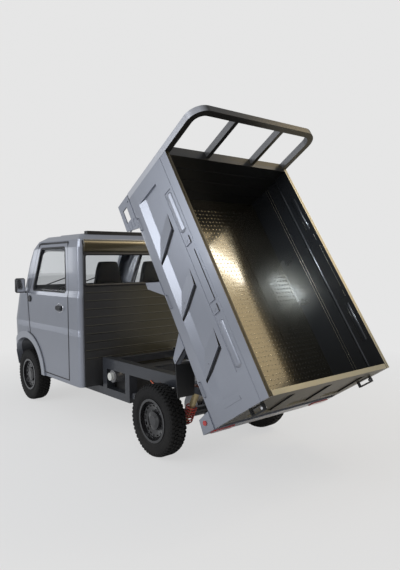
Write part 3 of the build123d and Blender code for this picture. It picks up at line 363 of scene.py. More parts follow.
silver_look = dict(colour=(0.305, 0.322, 0.372), metallic=0.65, roughness=0.30, coat=0.6, mottle=0.08,
                   soil=0.08)
black_look = dict(colour=(0.010, 0.010, 0.010), metallic=0.0, roughness=0.30, mottle=0.5,
                  mottle_scale=3.0, grain=0.12, grain_scale=55.0, soil=0.02)
inner_look = dict(colour=(0.040, 0.043, 0.048), metallic=0.4, roughness=0.20, coat=0.6, mottle=0.3,
                  mottle_scale=3.0, grain=0.12, grain_scale=55.0, soil=0.02)
# Painted reflection: the next two colours stand for warm light mirrored in faces that turn up or back.
gold_reflection_look = dict(colour=(0.40, 0.36, 0.25), metallic=0.5, roughness=0.35, coat=0.3, soil=0.02)
warm_reflection_look = dict(colour=(0.058, 0.047, 0.024), metallic=0.4, roughness=0.38, coat=0.0, soil=0.02)
# Painted shade: the guard's faces that turn away from the light.
guard_shade_look = dict(colour=(0.018, 0.017, 0.016), metallic=0.1, roughness=0.32, coat=0.0, soil=0.02)
wall_look = dict(colour=(0.058, 0.058, 0.060), metallic=0.3, roughness=0.40, coat=0.15, mottle=0.25,
                 soil=0.02)
# Painted reflection: the dark wall's warm sheen towards the right.
wall_reflection_look = dict(wall_look, colour=(0.066, 0.058, 0.032))
# Painted highlight: a lighter colour for faces and beads that catch the light.
rib_highlight_look = dict(colour=(0.13, 0.125, 0.10), metallic=0.3, roughness=0.35, coat=0.3, soil=0.02)
cab_silver = finish("cab_silver", **silver_look, crease=True)
# Painted highlight: the rear wall's beads are coloured lighter so they show as light lines.
bead_highlight_paint = finish("bead_highlight_paint", **rib_highlight_look)
# Painted highlight: the flares are the body's silver made lighter, for the light on their rounded tops.
flare_highlight_paint = finish("flare_highlight_paint", **dict(silver_look, colour=(0.40, 0.42, 0.47)))
# Painted reflection: the header's bronze stands for warm light on the dark paint.
header_reflection_paint = finish("header_reflection_paint", (0.15, 0.13, 0.085), 0.6, 0.24, coat=0.6, soil=0.0)
# The next two colours are painted light on the guard's faces turned to the left: palest on its outer post.
lit_face_look = dict(silver_look, colour=(0.50, 0.51, 0.55), roughness=0.30, grain=0.002)
half_lit_look = dict(silver_look, colour=(0.15, 0.15, 0.155), roughness=0.34, grain=0.002, coat=0.3)
# Painted sheen and reflection: the dots are gold where they catch warm light, dark towards the right where the
# floor mirrors shade.
dot_sheen_look = dict(colour=(0.42, 0.36, 0.24), metallic=0.9, roughness=0.26, coat=0.3, grain=0.0, soil=0.0,
                rounding=0)
dot_sheen_paint = layered("dot_sheen_paint", dot_sheen_look, (dict(dot_sheen_look, colour=(0.05, 0.048, 0.042)),
                                            side_mask(-0.06, -0.18)))
bed_plate = finish("bed_plate", (0.100, 0.089, 0.063), 0.85, 0.17, coat=0.45, mottle=0.3, mottle_scale=3.0,
                   grain=0.10, grain_scale=55.0, soil=0.02)
bed_tilt = math.radians(-min(joints["bed_tip"]["range_deg"]))
bed_forward = (math.cos(bed_tilt), 0, math.sin(bed_tilt))
bed_upward = (-math.sin(bed_tilt), 0, math.cos(bed_tilt))
bed_rearward = tuple(-value for value in bed_forward)
inner_half = 0.614


def inner_mask(tree):
    away = math_node(tree, "ABSOLUTE", axis_distance(tree, "Y"), 0)
    return math_node(tree, "SUBTRACT", 1.0, step_mask(tree, away, inner_half - 0.0002, inner_half))


# Painted reflection on the bed's rim: bronze where a face turns up, pale gold on the right-hand side.
rim_reflection_mask = facing_mask(bed_upward, 0.90, 0.97)
bed_side_paint = layered("bed_side_paint", silver_look, (inner_look, inner_mask), (warm_reflection_look, rim_reflection_mask),
                         (gold_reflection_look, both_masks(rim_reflection_mask, side_mask(0.01, 0.0))))
# Painted reflection on the tailgate: pale gold on its top edge, warm bronze on faces turned to the rear.
tailgate_paint = layered("tailgate_paint", black_look, (gold_reflection_look, rim_reflection_mask),
                         (warm_reflection_look, facing_mask(bed_rearward, 0.2, 0.5)))
# Painted light and shade on the guard: left-facing faces lit silver, others dark as shade, a warm painted
# reflection towards the right.
guard_paint = layered("guard_paint", guard_shade_look, (warm_reflection_look, side_mask(0.25, -0.45)),
                      (half_lit_look, facing_mask((0, 1, 0), 0.35, 0.7)),
                      (lit_face_look, both_masks(facing_mask((0, 1, 0), 0.15, 0.6), side_mask(0.45, 0.50))))
# Painted light on the dark wall: a warm reflection towards the right, a painted highlight on faces that turn up.
graphite = layered("graphite_paint", wall_look, (wall_reflection_look, side_mask(0.35, -0.15)),
                   (rib_highlight_look, facing_mask((0, 0, 1), 0.25, 0.6)))

# %% [markdown]
# Glass is thin and clean: a shader with full transmission, a low roughness and a faint grey-green. Then
# every material slot gets its finish, and a few nodes get one of their own.

# %% glass, and the finish of each slot
def glass_finish(name, colour, roughness):
    material, tree, shader = new_material(name)
    set_inputs(shader, {"Transmission Weight": 1.0, "Metallic": 0.0, "Roughness": roughness, "IOR": 1.1})
    tinted = add_group(tree, mottle_tree, {"Colour": (*colour, 1), "Amount": 0.04})
    tree.links.new(tinted.outputs["Colour"], shader.inputs["Base Color"])
    return material


finishes = {
    "dark_paint": graphite, "glass": glass_finish("window_glass", (0.97, 0.98, 0.98), 0.01),
    "lamp_clear": glass_finish("lamp_glass", (0.93, 0.94, 0.95), 0.05),
    "silver_paint": finish("silver_paint", **silver_look),
    "frame_paint": finish("frame_paint", (0.030, 0.034, 0.043), 0.2, 0.38, coat=0.4, mottle=0.3, soil=0.16),
    "bed_inside": finish("bed_black", **black_look),
    "motor_alloy": finish("cast_alloy", (0.30, 0.30, 0.31), 0.8, 0.45, grain=0.15, soil=0.4),
    "damper_steel": finish("brass_zinc", (0.55, 0.44, 0.24), 0.8, 0.38, soil=0.2),
    "spring_red": finish("spring_red", (0.42, 0.035, 0.02), 0.0, 0.40, coat=0.4, soil=0.15),
    "battery_case": finish("battery_case", (0.045, 0.047, 0.05), 0.3, 0.5, soil=0.3),
    "pale_plastic": finish("pale_cap", (0.72, 0.72, 0.68), 0.0, 0.45, soil=0.3),
    "lamp_red": finish("red_lens", (0.45, 0.01, 0.01), 0.0, 0.15, coat=1.0, soil=0.05),
    "black_plastic": finish("black_plastic", (0.016, 0.016, 0.018), 0.0, 0.42, grain=0.10,
                            grain_scale=900.0, soil=0.05),
    "seat_cover": finish("seat_cover", (0.014, 0.014, 0.016), 0.0, 0.55, grain=0.35, grain_scale=420.0,
                         soil=0.0, rounding=0),
    "flap_rubber": finish("flap_rubber", (0.018, 0.019, 0.021), 0.0, 0.7, grain=0.2, soil=0.45),
    "rod_chrome": finish("rod_chrome", (0.72, 0.72, 0.74), 1.0, 0.10, soil=0.05, rounding=0.001),
    "tyre": finish("tyre_rubber", (0.006, 0.006, 0.0065), 0.0, 0.70, mottle=0.4, mottle_scale=20.0,
                   grain=0.25, grain_scale=500.0, soil=0.08, rounding=0.001, specular=0.25),
    "rim_black": finish("rim_black", (0.010, 0.010, 0.012), 0.3, 0.20, coat=1.0, soil=0.05),
}
own_finishes = {
    "bed_floor": bed_plate, "guard_frame": guard_paint, "tailgate": tailgate_paint,
    "wheel_flares": flare_highlight_paint, **dict.fromkeys(("bed_side_left", "bed_side_right"), bed_side_paint),
    **dict.fromkeys(("door_left", "door_right", "cab_quarters", "front_panel"), cab_silver),
}
node_slots = {part["node"]: part["material_slot"] for part in frame["record"]["subparts"]}
for node_name, node in nodes.items():
    node.data.materials.clear()
    node.data.materials.append(own_finishes.get(node_name, finishes[node_slots[node_name]]))
print("finishes", len(finishes))

# %% [markdown]
# Every new piece is built in bmesh, then handed over by one helper. It rounds the shading below a set
# edge angle and keeps harder edges crisp, puts the finish on, and says which body the piece rides on. The
# finish is the material slot's own, unless a look is given. Small helpers beside it do what many pieces
# need: a bevelled block, a turn about the origin, the edges of some points and a bmesh from an object.

# %% helpers that make and finish a piece
def new_piece(name, bm, body, slot, crease_degrees=35, look=None):
    crease = math.radians(crease_degrees)
    for face in bm.faces:
        face.smooth = True
    for edge in bm.edges:
        edge.smooth = edge.calc_face_angle(0) < crease
    piece = mesh_object(name, bm)
    piece.data.materials.append(look or finishes[slot])
    scene.collection.objects.link(piece)
    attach(piece, body)
    return piece


def add_block(bm, centre, size, edge_round=0.0):
    made = bmesh.ops.create_cube(bm, size=1)["verts"]
    bmesh.ops.scale(bm, verts=made, vec=size)
    bmesh.ops.translate(bm, verts=made, vec=centre)
    if edge_round:
        rounded = bmesh.ops.bevel(bm, geom=edges_of(made), offset=edge_round, segments=1, profile=0.5,
                                  affect="EDGES", material=-1)
        made = once(vert for face in rounded["faces"] for vert in face.verts)
    return made


def once(items):
    """Each item once, in the order in which they come."""
    return list(dict.fromkeys(items))


def edges_of(verts):
    return once(edge for vert in verts for edge in vert.link_edges)


def turn_verts(bm, verts, angle, axis):
    bmesh.ops.rotate(bm, verts=verts, cent=(0, 0, 0), matrix=Matrix.Rotation(angle, 3, axis))


def spin_ring(bm, verts, steps):
    bmesh.ops.spin(bm, geom=verts + edges_of(verts), cent=(0, 0, 0), axis=(0, 1, 0), angle=math.tau,
                   steps=steps, use_merge=True)


def face_outward(bm):
    bmesh.ops.recalc_face_normals(bm, faces=bm.faces[:])


def into_bmesh(holder):
    """The object's shape after its modifiers, as a new bmesh; the object itself goes."""
    scene.collection.objects.link(holder)
    graph = bpy.context.evaluated_depsgraph_get()
    made = bpy.data.meshes.new_from_object(holder.evaluated_get(graph))
    bpy.data.objects.remove(holder)
    result = bmesh.new()
    result.from_mesh(made)
    return result


def joint_place(name):
    return Vector(joints[name]["pos_m"])


wheels = {"front_left": 1, "front_right": -1, "rear_left": 1, "rear_right": -1}
sides = ((1, "left"), (-1, "right"))

# %% [markdown]
# A light truck tyre has a soft bulging sidewall and a blocky tread whose shoulder lugs wrap over the
# edge, so its outline is knobbly from behind. The casing is half a section of a few points, spun round
# the axle. Each tread row is one bevelled block that spin copies round the wheel without joining them.

# %% tyre casing and tread
tyre_radius = 0.270
tread_depth = 0.008
belt_half = 0.046
bead_radius, bead_half, bead_tall = 0.152, 0.059, 0.0135
wall_middle, wall_tall, wall_reach, wall_bulge = 0.215, 0.047, 0.0715, 0.016
wall_start, wall_sweep, wall_steps = math.radians(-62), math.radians(124), 8
ring_out, ring_wire, ring_radii = 0.0685, 0.0016, (0.188, 0.236)
pitch_count = 50


def tyre_section():
    wall = []
    for step in range(wall_steps + 1):
        angle = wall_start + wall_sweep * step / wall_steps
        wall.append((wall_middle + wall_tall * math.sin(angle),
                     wall_reach - wall_bulge * (1 - math.cos(angle))))
    return [(bead_radius, bead_half), (bead_radius + bead_tall, bead_half), *wall,
            (tyre_radius - tread_depth, belt_half), (tyre_radius - tread_depth, 0.0)]


def build_tyre(bm):
    half = [bm.verts.new((radius, out, 0)) for radius, out in tyre_section()]
    other = [bm.verts.new((radius, -out, 0)) for radius, out in reversed(tyre_section()[:-1])]
    line = half + other
    for pair in zip(line, line[1:] + line[:1]):
        bm.edges.new(pair)
    spin_ring(bm, line, 96)
    face_outward(bm)


def tread_row(bm, out, width, length, top, drop, shift, count=pitch_count, skew=0.0):
    depth = tread_depth + 0.004
    block = add_block(bm, (top - depth / 2, out, 0), (depth, width, length), 0.0012)
    outer = [vert for vert in block if abs(vert.co.y) > abs(out)]
    if drop:
        bmesh.ops.translate(bm, verts=outer, vec=(-drop, 0, 0))
    for vert in block:
        vert.co.z += skew * (vert.co.y - out)
    turn_verts(bm, block, math.tau * shift / count, "Y")
    faces = once(face for vert in block for face in vert.link_faces)
    bmesh.ops.spin(bm, geom=faces, cent=(0, 0, 0), axis=(0, 1, 0), angle=math.tau * (count - 1) / count,
                   steps=count - 1, use_duplicate=True)


for wheel, side in wheels.items():
    bm = bmesh.new()
    build_tyre(bm)
    for row_side in (-1, 1):
        tread_row(bm, 0.0555 * row_side, 0.021, 0.020, tyre_radius - 0.0015, 0.0065, 0.5)
        tread_row(bm, 0.0305 * row_side, 0.022, 0.024, tyre_radius, 0.0, 0.1, skew=0.35 * row_side)
        tread_row(bm, 0.0686 * row_side, 0.0045, 0.016, 0.2525, 0.006, 0.5)
    tread_row(bm, 0.0, 0.030, 0.026, tyre_radius, 0.0, 0.6, skew=-0.3)
    for ring_radius in ring_radii:
        ring = bmesh.ops.create_circle(bm, segments=8, radius=ring_wire)["verts"]
        bmesh.ops.translate(bm, verts=ring, vec=(ring_radius, ring_out, 0))
        spin_ring(bm, ring, 72)
    if side < 0:
        turn_verts(bm, bm.verts[:], math.pi, "Z")
    bmesh.ops.translate(bm, verts=bm.verts[:], vec=joint_place("spin_" + wheel))
    tyre = new_piece("tyre_tread_" + wheel, bm, "wheel_" + wheel, "tyre", 40)
    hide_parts("tyre_" + wheel)
print("tyre triangles", len(tyre.data.polygons) * 2)

# %% [markdown]
# The bed has its own slope, so its pieces are drawn flat, in bed coordinates: length from the rear edge,
# width, and height. One matrix then tips them all by the hinge's angle. The angle is read from the
# joint's own range, because the bed is stored at one end of it.

# %% bed coordinates and the floor's raised dots
bed_hinge_along = 0.254
bed_hinge_over = 0.050
bed_place = (Matrix.Translation(joint_place("bed_tip")) @ Matrix.Rotation(-bed_tilt, 4, "Y")
             @ Matrix.Translation((-bed_hinge_along, 0, -bed_hinge_over)))
floor_top = 0.195
floor_rear, floor_front = 0.060, 1.780
floor_half = 0.590
dot_pitch, dot_radius, dot_shape = 0.036, 0.011, (1.0, 0.48, 0.22)


def laid_out(name, bm, counts, steps):
    """Copies a small mesh in a grid by two Array modifiers, and returns the result as a bmesh."""
    holder = mesh_object(name, bm)
    for count, step in zip(counts, steps):
        array = holder.modifiers.new("grid", "ARRAY")
        array.count = count
        array.use_relative_offset = False
        array.use_constant_offset = True
        array.constant_offset_displace = step
    return into_bmesh(holder)


bm = bmesh.new()
for along, over, turned in ((0, 0, 1), (1, 0, -1), (0, 1, -1), (1, 1, 1)):
    dot = bmesh.ops.create_uvsphere(bm, u_segments=6, v_segments=4, radius=dot_radius)["verts"]
    bmesh.ops.scale(bm, verts=dot, vec=dot_shape)
    turn_verts(bm, dot, math.radians(45 * turned), "Z")
    bmesh.ops.translate(bm, verts=dot, vec=(along * dot_pitch, over * dot_pitch, 0))
along_count = int((floor_front - floor_rear) / (2 * dot_pitch))
over_count = int(2 * floor_half / (2 * dot_pitch))
bm = laid_out("dot", bm, (along_count, over_count), ((2 * dot_pitch, 0, 0), (0, 2 * dot_pitch, 0)))
bmesh.ops.translate(bm, verts=bm.verts[:], vec=(floor_rear, -floor_half + dot_pitch / 2, floor_top))
bmesh.ops.transform(bm, matrix=bed_place, verts=bm.verts[:])
dots = new_piece("bed_floor_dots", bm, "bed", "bed_inside", 80, dot_sheen_paint)
print("dots", along_count * over_count * 4, "triangles", len(dots.data.polygons) * 2)

# %% [markdown]
# A coil spring is a small circle spun round the damper's line while it climbs. Spin takes the climb for
# each step as dvec, so one call makes the whole helix.

# %% coil springs on the rear dampers
axle = joint_place("spin_rear_left")
damper_side = 0.400
damper_foot = Vector((axle.x - 0.150, 0, axle.z - 0.020))
damper_head = Vector((axle.x - 0.285, 0, axle.z + 0.235))
damper_way = (damper_head - damper_foot).normalized()
damper_run = (damper_head - damper_foot).length
coil_radius, coil_wire, coil_turns, coil_lift, coil_share = 0.0385, 0.0055, 5.5, 0.024, 0.48


def helix(bm, start, way, radius, wire, turns, climb, per_turn=20):
    side = way.orthogonal().normalized()
    coil = bmesh.ops.create_circle(bm, segments=10, radius=wire)["verts"]
    upright = Matrix((side, way.cross(side).normalized(), way)).transposed()
    bmesh.ops.rotate(bm, verts=coil, cent=(0, 0, 0), matrix=upright @ Matrix.Rotation(math.pi / 2, 3, "X"))
    bmesh.ops.translate(bm, verts=coil, vec=start + side * radius)
    loop = edges_of(coil)
    steps = int(turns * per_turn)
    spun = bmesh.ops.spin(bm, geom=coil + loop, cent=start, axis=way, dvec=way * (climb / steps),
                          angle=math.tau * turns, steps=steps)
    for ring in (loop, [item for item in spun["geom_last"] if isinstance(item, bmesh.types.BMEdge)]):
        bmesh.ops.holes_fill(bm, edges=ring)


bm = bmesh.new()
for side in (-1, 1):
    offset = Vector((0, side * damper_side, 0))
    helix(bm, damper_foot + offset + damper_way * coil_lift, damper_way, coil_radius, coil_wire, coil_turns,
          damper_run * coil_share)
face_outward(bm)
coils = new_piece("rear_coils", bm, "chassis", "spring_red", 60)
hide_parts("rear_springs")
print("coil triangles", len(coils.data.polygons) * 2)

# %% [markdown]
# A pressed seam or a rubber gasket follows the edge of a panel at a constant width. A curve with a round
# bevel does that with a handful of points. It is turned into a mesh at once, so that its place is in the
# mesh. All the points below are measured forward from the rear axle, as on the truck's own drawing.

# %% helper for a strip along a line
def strip_mesh(lines, radius, closed=True, smooth=False, facets=2):
    curve = bpy.data.curves.new("strip", "CURVE")
    curve.dimensions = "3D"
    curve.bevel_depth = radius
    curve.bevel_resolution = facets
    curve.resolution_u = 6
    for points in lines:
        spline = curve.splines.new("NURBS" if smooth else "POLY")
        spline.points.add(len(points) - 1)
        for target, point in zip(spline.points, points):
            target.co = (*point, 1)
        spline.use_cyclic_u = closed
        if smooth:
            spline.order_u = 3
            spline.use_endpoint_u = not closed
    if not closed:
        curve.use_fill_caps = True
    return into_bmesh(bpy.data.objects.new("strip", curve))


def mirrored_copy(bm):
    everything = bm.verts[:] + bm.edges[:] + bm.faces[:]
    copied = bmesh.ops.duplicate(bm, geom=everything)["geom"]
    faces = [item for item in copied if isinstance(item, bmesh.types.BMFace)]
    verts = [item for item in copied if isinstance(item, bmesh.types.BMVert)]
    bmesh.ops.scale(bm, verts=verts, vec=(1, -1, 1))
    bmesh.ops.reverse_faces(bm, faces=faces)


def rounded_outline(corners, radius, steps=4):
    """Corner points with each corner replaced by a short arc."""
    made = []
    count = len(corners)
    for index, corner in enumerate(corners):
        corner = Vector(corner)
        before = (Vector(corners[index - 1]) - corner).normalized() * radius
        after = (Vector(corners[(index + 1) % count]) - corner).normalized() * radius
        for step in range(steps + 1):
            share = step / steps
            made.append(corner + before * (1 - share) ** 2 + after * share ** 2)
    return made


# %% [markdown]
# The doors are outlined by a black rubber seal that shows in the gap, and their glass sits in a black
# gasket. The rear window and the windscreen have wider gaskets. These dark lines are what makes a cab
# read as separate panels rather than one block.

# %% door seals and window gaskets
door_rear, door_front = axle.x + 1.3075, axle.x + 2.2525
door_low, door_high = 0.3675, 1.6475
belt_low, belt_rear, belt_front = 1.14, 1.21, 1.182
pillar_foot, pillar_top = axle.x + 2.204, axle.x + 1.932
arch_centre = Vector((axle.x + 2.300, 0, 0.270))
arch_lip, arch_start, arch_step = 0.4705, 168, 8.2
seal_y, upper_y, seal_radius = 0.6203, 0.6083, 0.0090
arc = []
for step in range(9):
    angle = math.radians(arch_start - arch_step * step)
    spot = arch_centre + Vector((math.cos(angle), 0, math.sin(angle))) * arch_lip
    if spot.x < door_front and spot.z > door_low:
        arc.append((spot.x, seal_y, spot.z))
door_line = [(door_rear, seal_y, belt_low), (door_rear, upper_y, belt_rear), (door_rear, upper_y, door_high),
             (pillar_top, upper_y, door_high), (pillar_foot, upper_y, belt_front),
             (door_front, seal_y, belt_low), *reversed(arc), (door_rear, seal_y, door_low)]
bm = strip_mesh([door_line], seal_radius)
mirrored_copy(bm)
new_piece("door_seals", bm, "chassis", "black_plastic")

gasket_y, gasket_radius, gasket_flat, gasket_corner = 0.6145, 0.0105, 0.55, 0.032
gasket_in, gasket_front, gasket_slant = 0.004, 0.006, 0.232
for side, name in sides:
    low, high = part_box("door_glass_" + name)
    glass_y, foot, top = gasket_y * side, low.z + gasket_in, high.z - gasket_in
    corners = [(low.x + gasket_in, glass_y, foot), (high.x - gasket_front, glass_y, foot),
               (high.x - gasket_slant, glass_y, top), (low.x + gasket_in, glass_y, top)]
    bm = strip_mesh([rounded_outline(corners, gasket_corner)], gasket_radius)
    bmesh.ops.scale(bm, verts=bm.verts[:], vec=(1, gasket_flat, 1),
                    space=Matrix.Translation((0, -glass_y, 0)))
    new_piece("window_gasket_" + name, bm, "door_" + name, "black_plastic")

rear_glass_x = axle.x + 1.087
half_width, rear_low, rear_high = 0.565, 1.252, 1.538
corners = [(rear_glass_x, out, up) for out, up in ((-half_width, rear_low), (half_width, rear_low),
                                                   (half_width, rear_high), (-half_width, rear_high))]
bm = strip_mesh([rounded_outline(corners, 0.035)], 0.014)
new_piece("rear_window_gasket", bm, "chassis", "black_plastic")
print("seal points", len(door_line))

# %% [markdown]
# The seats are black and plain, seen from behind through the rear window. Each back is an outline with a
# narrow head, given thickness, then rounded by a subdivision surface. An inset on the front makes the
# sewn panel, pulled in a little so that it reads as stuffed cloth over foam.

# %% padded seats
seat_low, seat_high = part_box("seats")
seat_y = 0.255
back_outline = [(-0.200, 0.015), (0.200, 0.015), (0.205, 0.20), (0.178, 0.50), (0.135, 0.585),
                (0.122, 0.70), (0.088, 0.788), (-0.088, 0.788), (-0.122, 0.70), (-0.135, 0.585),
                (-0.178, 0.50), (-0.205, 0.20)]


def seat_back(bm, centre_y):
    rear = seat_low.x + 0.008
    verts = [bm.verts.new((rear, centre_y + out, seat_low.z + up)) for out, up in back_outline]
    back = bmesh.ops.contextual_create(bm, geom=verts)["faces"]
    front = bmesh.ops.extrude_face_region(bm, geom=back)["geom"]
    moved = [item for item in front if isinstance(item, bmesh.types.BMVert)]
    face = [item for item in front if isinstance(item, bmesh.types.BMFace)]
    bmesh.ops.translate(bm, verts=moved, vec=(0.070, 0, 0))
    for width, push in ((0.030, 0.006), (0.010, -0.008), (0.014, 0.006)):
        bmesh.ops.inset_region(bm, faces=face, thickness=width, depth=push)
    bmesh.ops.inset_region(bm, faces=back, thickness=0.035, depth=0.004)


def seat_cushion(bm, centre_y):
    length, width, thick = 0.42, 0.41, 0.090
    rear = seat_low.x + 0.105
    pad = add_block(bm, (rear + length / 2, centre_y, seat_low.z + 0.006 + thick / 2),
                    (length, width, thick))
    top = [face for face in bm.faces if face.normal.z > 0.9 and all(vert in pad for vert in face.verts)]
    for spread, push in ((0.030, 0.004), (0.010, -0.008), (0.016, 0.010)):
        bmesh.ops.inset_region(bm, faces=top, thickness=spread, depth=push)


for side, label in sides:
    bm = bmesh.new()
    seat_back(bm, seat_y * side)
    bm.normal_update()
    seat_cushion(bm, seat_y * side)
    face_outward(bm)
    sharp = [edge for edge in bm.edges if edge.calc_face_angle(0) > 0.9]
    bmesh.ops.bevel(bm, geom=sharp, offset=0.016, segments=2, profile=0.5, affect="EDGES", material=-1)
    seat = new_piece("seat_" + label, bm, "chassis", "seat_cover", 80)
    rounding = seat.modifiers.new("soften", "SUBSURF")
    rounding.levels = rounding.render_levels = 2
    if side > 0:
        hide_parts("seats")
print("seat faces", len(seat.data.polygons))

# %% [markdown]
# Round lamps with a bright ring look out of the nose. Each ring is a small circle spun into a tube, turned
# to face forward with a little sweep to its side, and set into the lamp's hole.

# %% headlamp rings
lamp_y, lamp_z, lamp_inset, lamp_sweep = 0.420, 0.760, 0.040, 0.28
ring_radius, ring_tube = 0.070, 0.006
lamp_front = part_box("headlamps")[1].x
bm = bmesh.new()
for side in (-1, 1):
    before = set(bm.verts)
    ring = bmesh.ops.create_circle(bm, segments=8, radius=ring_tube)["verts"]
    bmesh.ops.translate(bm, verts=ring, vec=(ring_radius, 0, 0))
    spin_ring(bm, ring, 40)
    whole = [vert for vert in bm.verts if vert not in before]
    turn_verts(bm, whole, math.pi / 2 + lamp_sweep * side, "Z")
    bmesh.ops.translate(bm, verts=whole, vec=(lamp_front - lamp_inset, lamp_y * side, lamp_z))
face_outward(bm)
rings = new_piece("headlamp_rings", bm, "chassis", "rod_chrome", 60)
print("ring faces", len(rings.data.polygons))

# %% [markdown]
# The bed's sides carry the look of this truck, so they get a closer piece each: a recessed field with a
# sloping ledge, three slanted louvres with a black strip in the slot behind each as painted shade, and a
# channel with ribs, squares and a blank strip. It is drawn once, flat, in bed coordinates and
# millimetres, as skins over rings of points, then mirrored for the other side and tipped.

# %% bed sides with their pressed relief
milli = 0.001
rod_facets, rod_taper, rod_end, pin_facets = 24, 14, 0.55, 12


def circle(count):
    return [(math.cos(math.tau * step / count), math.sin(math.tau * step / count)) for step in range(count)]


def skin(bm, rings):
    """A closed body over rings of points with as many points each, capped at both ends."""
    rows = [[bm.verts.new(Vector(point) * milli) for point in ring] for ring in rings]
    for low, high in zip(rows, rows[1:]):
        for index in range(len(low)):
            after = (index + 1) % len(low)
            bm.faces.new((low[index], low[after], high[after], high[index]))
    bm.faces.new(list(reversed(rows[0])))
    bm.faces.new(rows[-1])


def run_along(bm, start, end, section):
    """A section of (height, width) points, run along the bed."""
    skin(bm, [[(along, width, height) for height, width in section] for along in (start, end)])


def run_across(bm, outline, near, far):
    """An outline of (along, height) points, run across the bed."""
    skin(bm, [[(along, width, height) for along, height in outline] for width in (near, far)])


def rod_along(bm, start, end, width, height, thick, tall):
    rings = []
    for along, share in ((start, rod_end), (start + rod_taper, 1), (end - rod_taper, 1), (end, rod_end)):
        rings.append([(along, width + thick * share * out, height + tall * share * up)
                      for out, up in circle(rod_facets)])
    skin(bm, rings)


side_length, side_low, side_rim = 1820, 95, 650
outer, inner, field, core = 635, 600, 621, 612
field_rear, field_front, field_low, field_high = 125, 1700, 268, 440
ledge_low, foot_high, foot_in = 190, 140, 6
louvre_feet = (295, 742, 1189)
louvre_low, louvre_high, louvre_lean, louvre_wide, louvre_proud = 192, 425, 137, 122, 16
slot_wide, shade_strip_proud, blade_edge = 22, 0.8, 0.5
bolt_up, bolt_along, bolt_radius, bolt_proud = 0.32, 0.30, 4.5, 2.5
channel_rear, channel_front, channel_low, channel_high, channel_in = 223, 1565, 482, 558, 5
rim_low, rim_in, slope = 575, 4, 4
groove_in, groove_tall, grooves = 3, 8, (409, 387)
rib_outer, rib_inner, rib_ends = 520, 590, ((241, 563), (1225, 1547))
outer_sunk, outer_rib, inner_sunk, inner_rib = 11, (18, 32), 8, (14, 28)
bar_ends, bar_height, bar_size = (45, 1790), 515, (14, 14)
square_rears, square_wide, square_proud = (610, 1126), 56, 3
mark, mark_proud = ((14, -10), (42, -10), (28, 14)), 5
rear_slat, slat_proud = ((73, 270), (97, 262), (97, 428), (73, 436)), 3
strip_rear, strip_long, strip_tall, strip_proud = 694, 379, 60, 2


def lean(height):
    return louvre_lean * (height - louvre_low) / (louvre_high - louvre_low)


def plate(bm, rear, long, middle, tall, near, far):
    low, high = middle - tall / 2, middle + tall / 2
    run_across(bm, [(rear, low), (rear + long, low), (rear + long, high), (rear, high)], near, far)


def bed_side(bm):
    wall = [(side_low, field), (side_rim, field), (side_rim, inner)]
    for low in grooves:
        high = low + groove_tall
        wall += [(high, inner), (high, inner + groove_in), (low, inner + groove_in), (low, inner)]
    run_along(bm, 0, side_length, wall + [(side_low, inner)])
    run_along(bm, 0, side_length, [(side_low, core), (side_low, outer - foot_in), (foot_high, outer),
                                   (ledge_low, outer), (ledge_low, core)])
    for rear, front in ((0, field_rear), (field_front, side_length)):
        plate(bm, rear, front - rear, (ledge_low + field_high) / 2, field_high - ledge_low, core, outer)
    rim = [(rim_low, outer), (rim_low + slope, outer - rim_in), (side_rim, outer - rim_in), (side_rim, core)]
    pressed = outer - channel_in
    channel = [(channel_low, outer), (channel_low + slope, pressed), (channel_high - slope, pressed),
               (channel_high, outer)]
    for rear, front, middle in ((0, channel_rear, []), (channel_rear, channel_front, channel),
                                (channel_front, side_length, [])):
        run_along(bm, rear, front, [(field_high, core), (field_high, outer), *middle, *rim])
    for rear, front in rib_ends:
        rod_along(bm, rear, front, outer - outer_sunk, rib_outer, *outer_rib)
        rod_along(bm, rear, front, inner + inner_sunk, rib_inner, *inner_rib)
    rod_along(bm, *bar_ends, inner + inner_sunk, bar_height, *bar_size)
    strip = (strip_rear, strip_long, strip_tall, strip_proud)
    for rear, long, tall, proud in (*((rear, square_wide, square_wide, square_proud)
                                      for rear in square_rears), strip):
        plate(bm, rear, long, rib_outer, tall, core, outer + proud)
        plate(bm, rear, long, rib_inner, tall, inner - proud, core)
    for rear in square_rears:
        for height, near, far in ((rib_outer, core, outer + mark_proud),
                                  (rib_inner, inner - mark_proud, core)):
            run_across(bm, [(rear + along, height + up) for along, up in mark], near, far)
    run_across(bm, rear_slat, core, outer + slat_proud)
    starts = [(field_rear, 0)] + [(foot, 1) for foot in louvre_feet]
    ends = [(foot - slot_wide, 1) for foot in louvre_feet] + [(field_front, 0)]
    ledge = ((ledge_low, core), (ledge_low, outer), (field_low, field), (field_low, core))
    for limits in zip(starts, ends):
        skin(bm, [[(place + leans * lean(height), width, height) for height, width in ledge]
                  for place, leans in limits])
    for foot in louvre_feet:
        blade = ((0, core), (louvre_wide, core), (louvre_wide, field + blade_edge), (0, field + louvre_proud))
        skin(bm, [[(foot + lean(height) + along, width, height) for along, width in blade]
                  for height in (louvre_low, louvre_high)])
        bolt = louvre_low + (louvre_high - louvre_low) * bolt_up
        rod_across(bm, foot + lean(bolt) + louvre_wide * bolt_along, bolt, bolt_radius, core,
                   field + louvre_proud * (1 - bolt_along) + bolt_proud)


def rod_across(bm, along, height, radius, near, far):
    skin(bm, [[(along + radius * over, width, height + radius * up) for over, up in circle(pin_facets)]
              for width in (near, far)])


def into_bed(bm, side):
    if side < 0:
        bmesh.ops.scale(bm, verts=bm.verts[:], vec=(1, -1, 1))
    bmesh.ops.transform(bm, matrix=bed_place, verts=bm.verts[:])
    face_outward(bm)


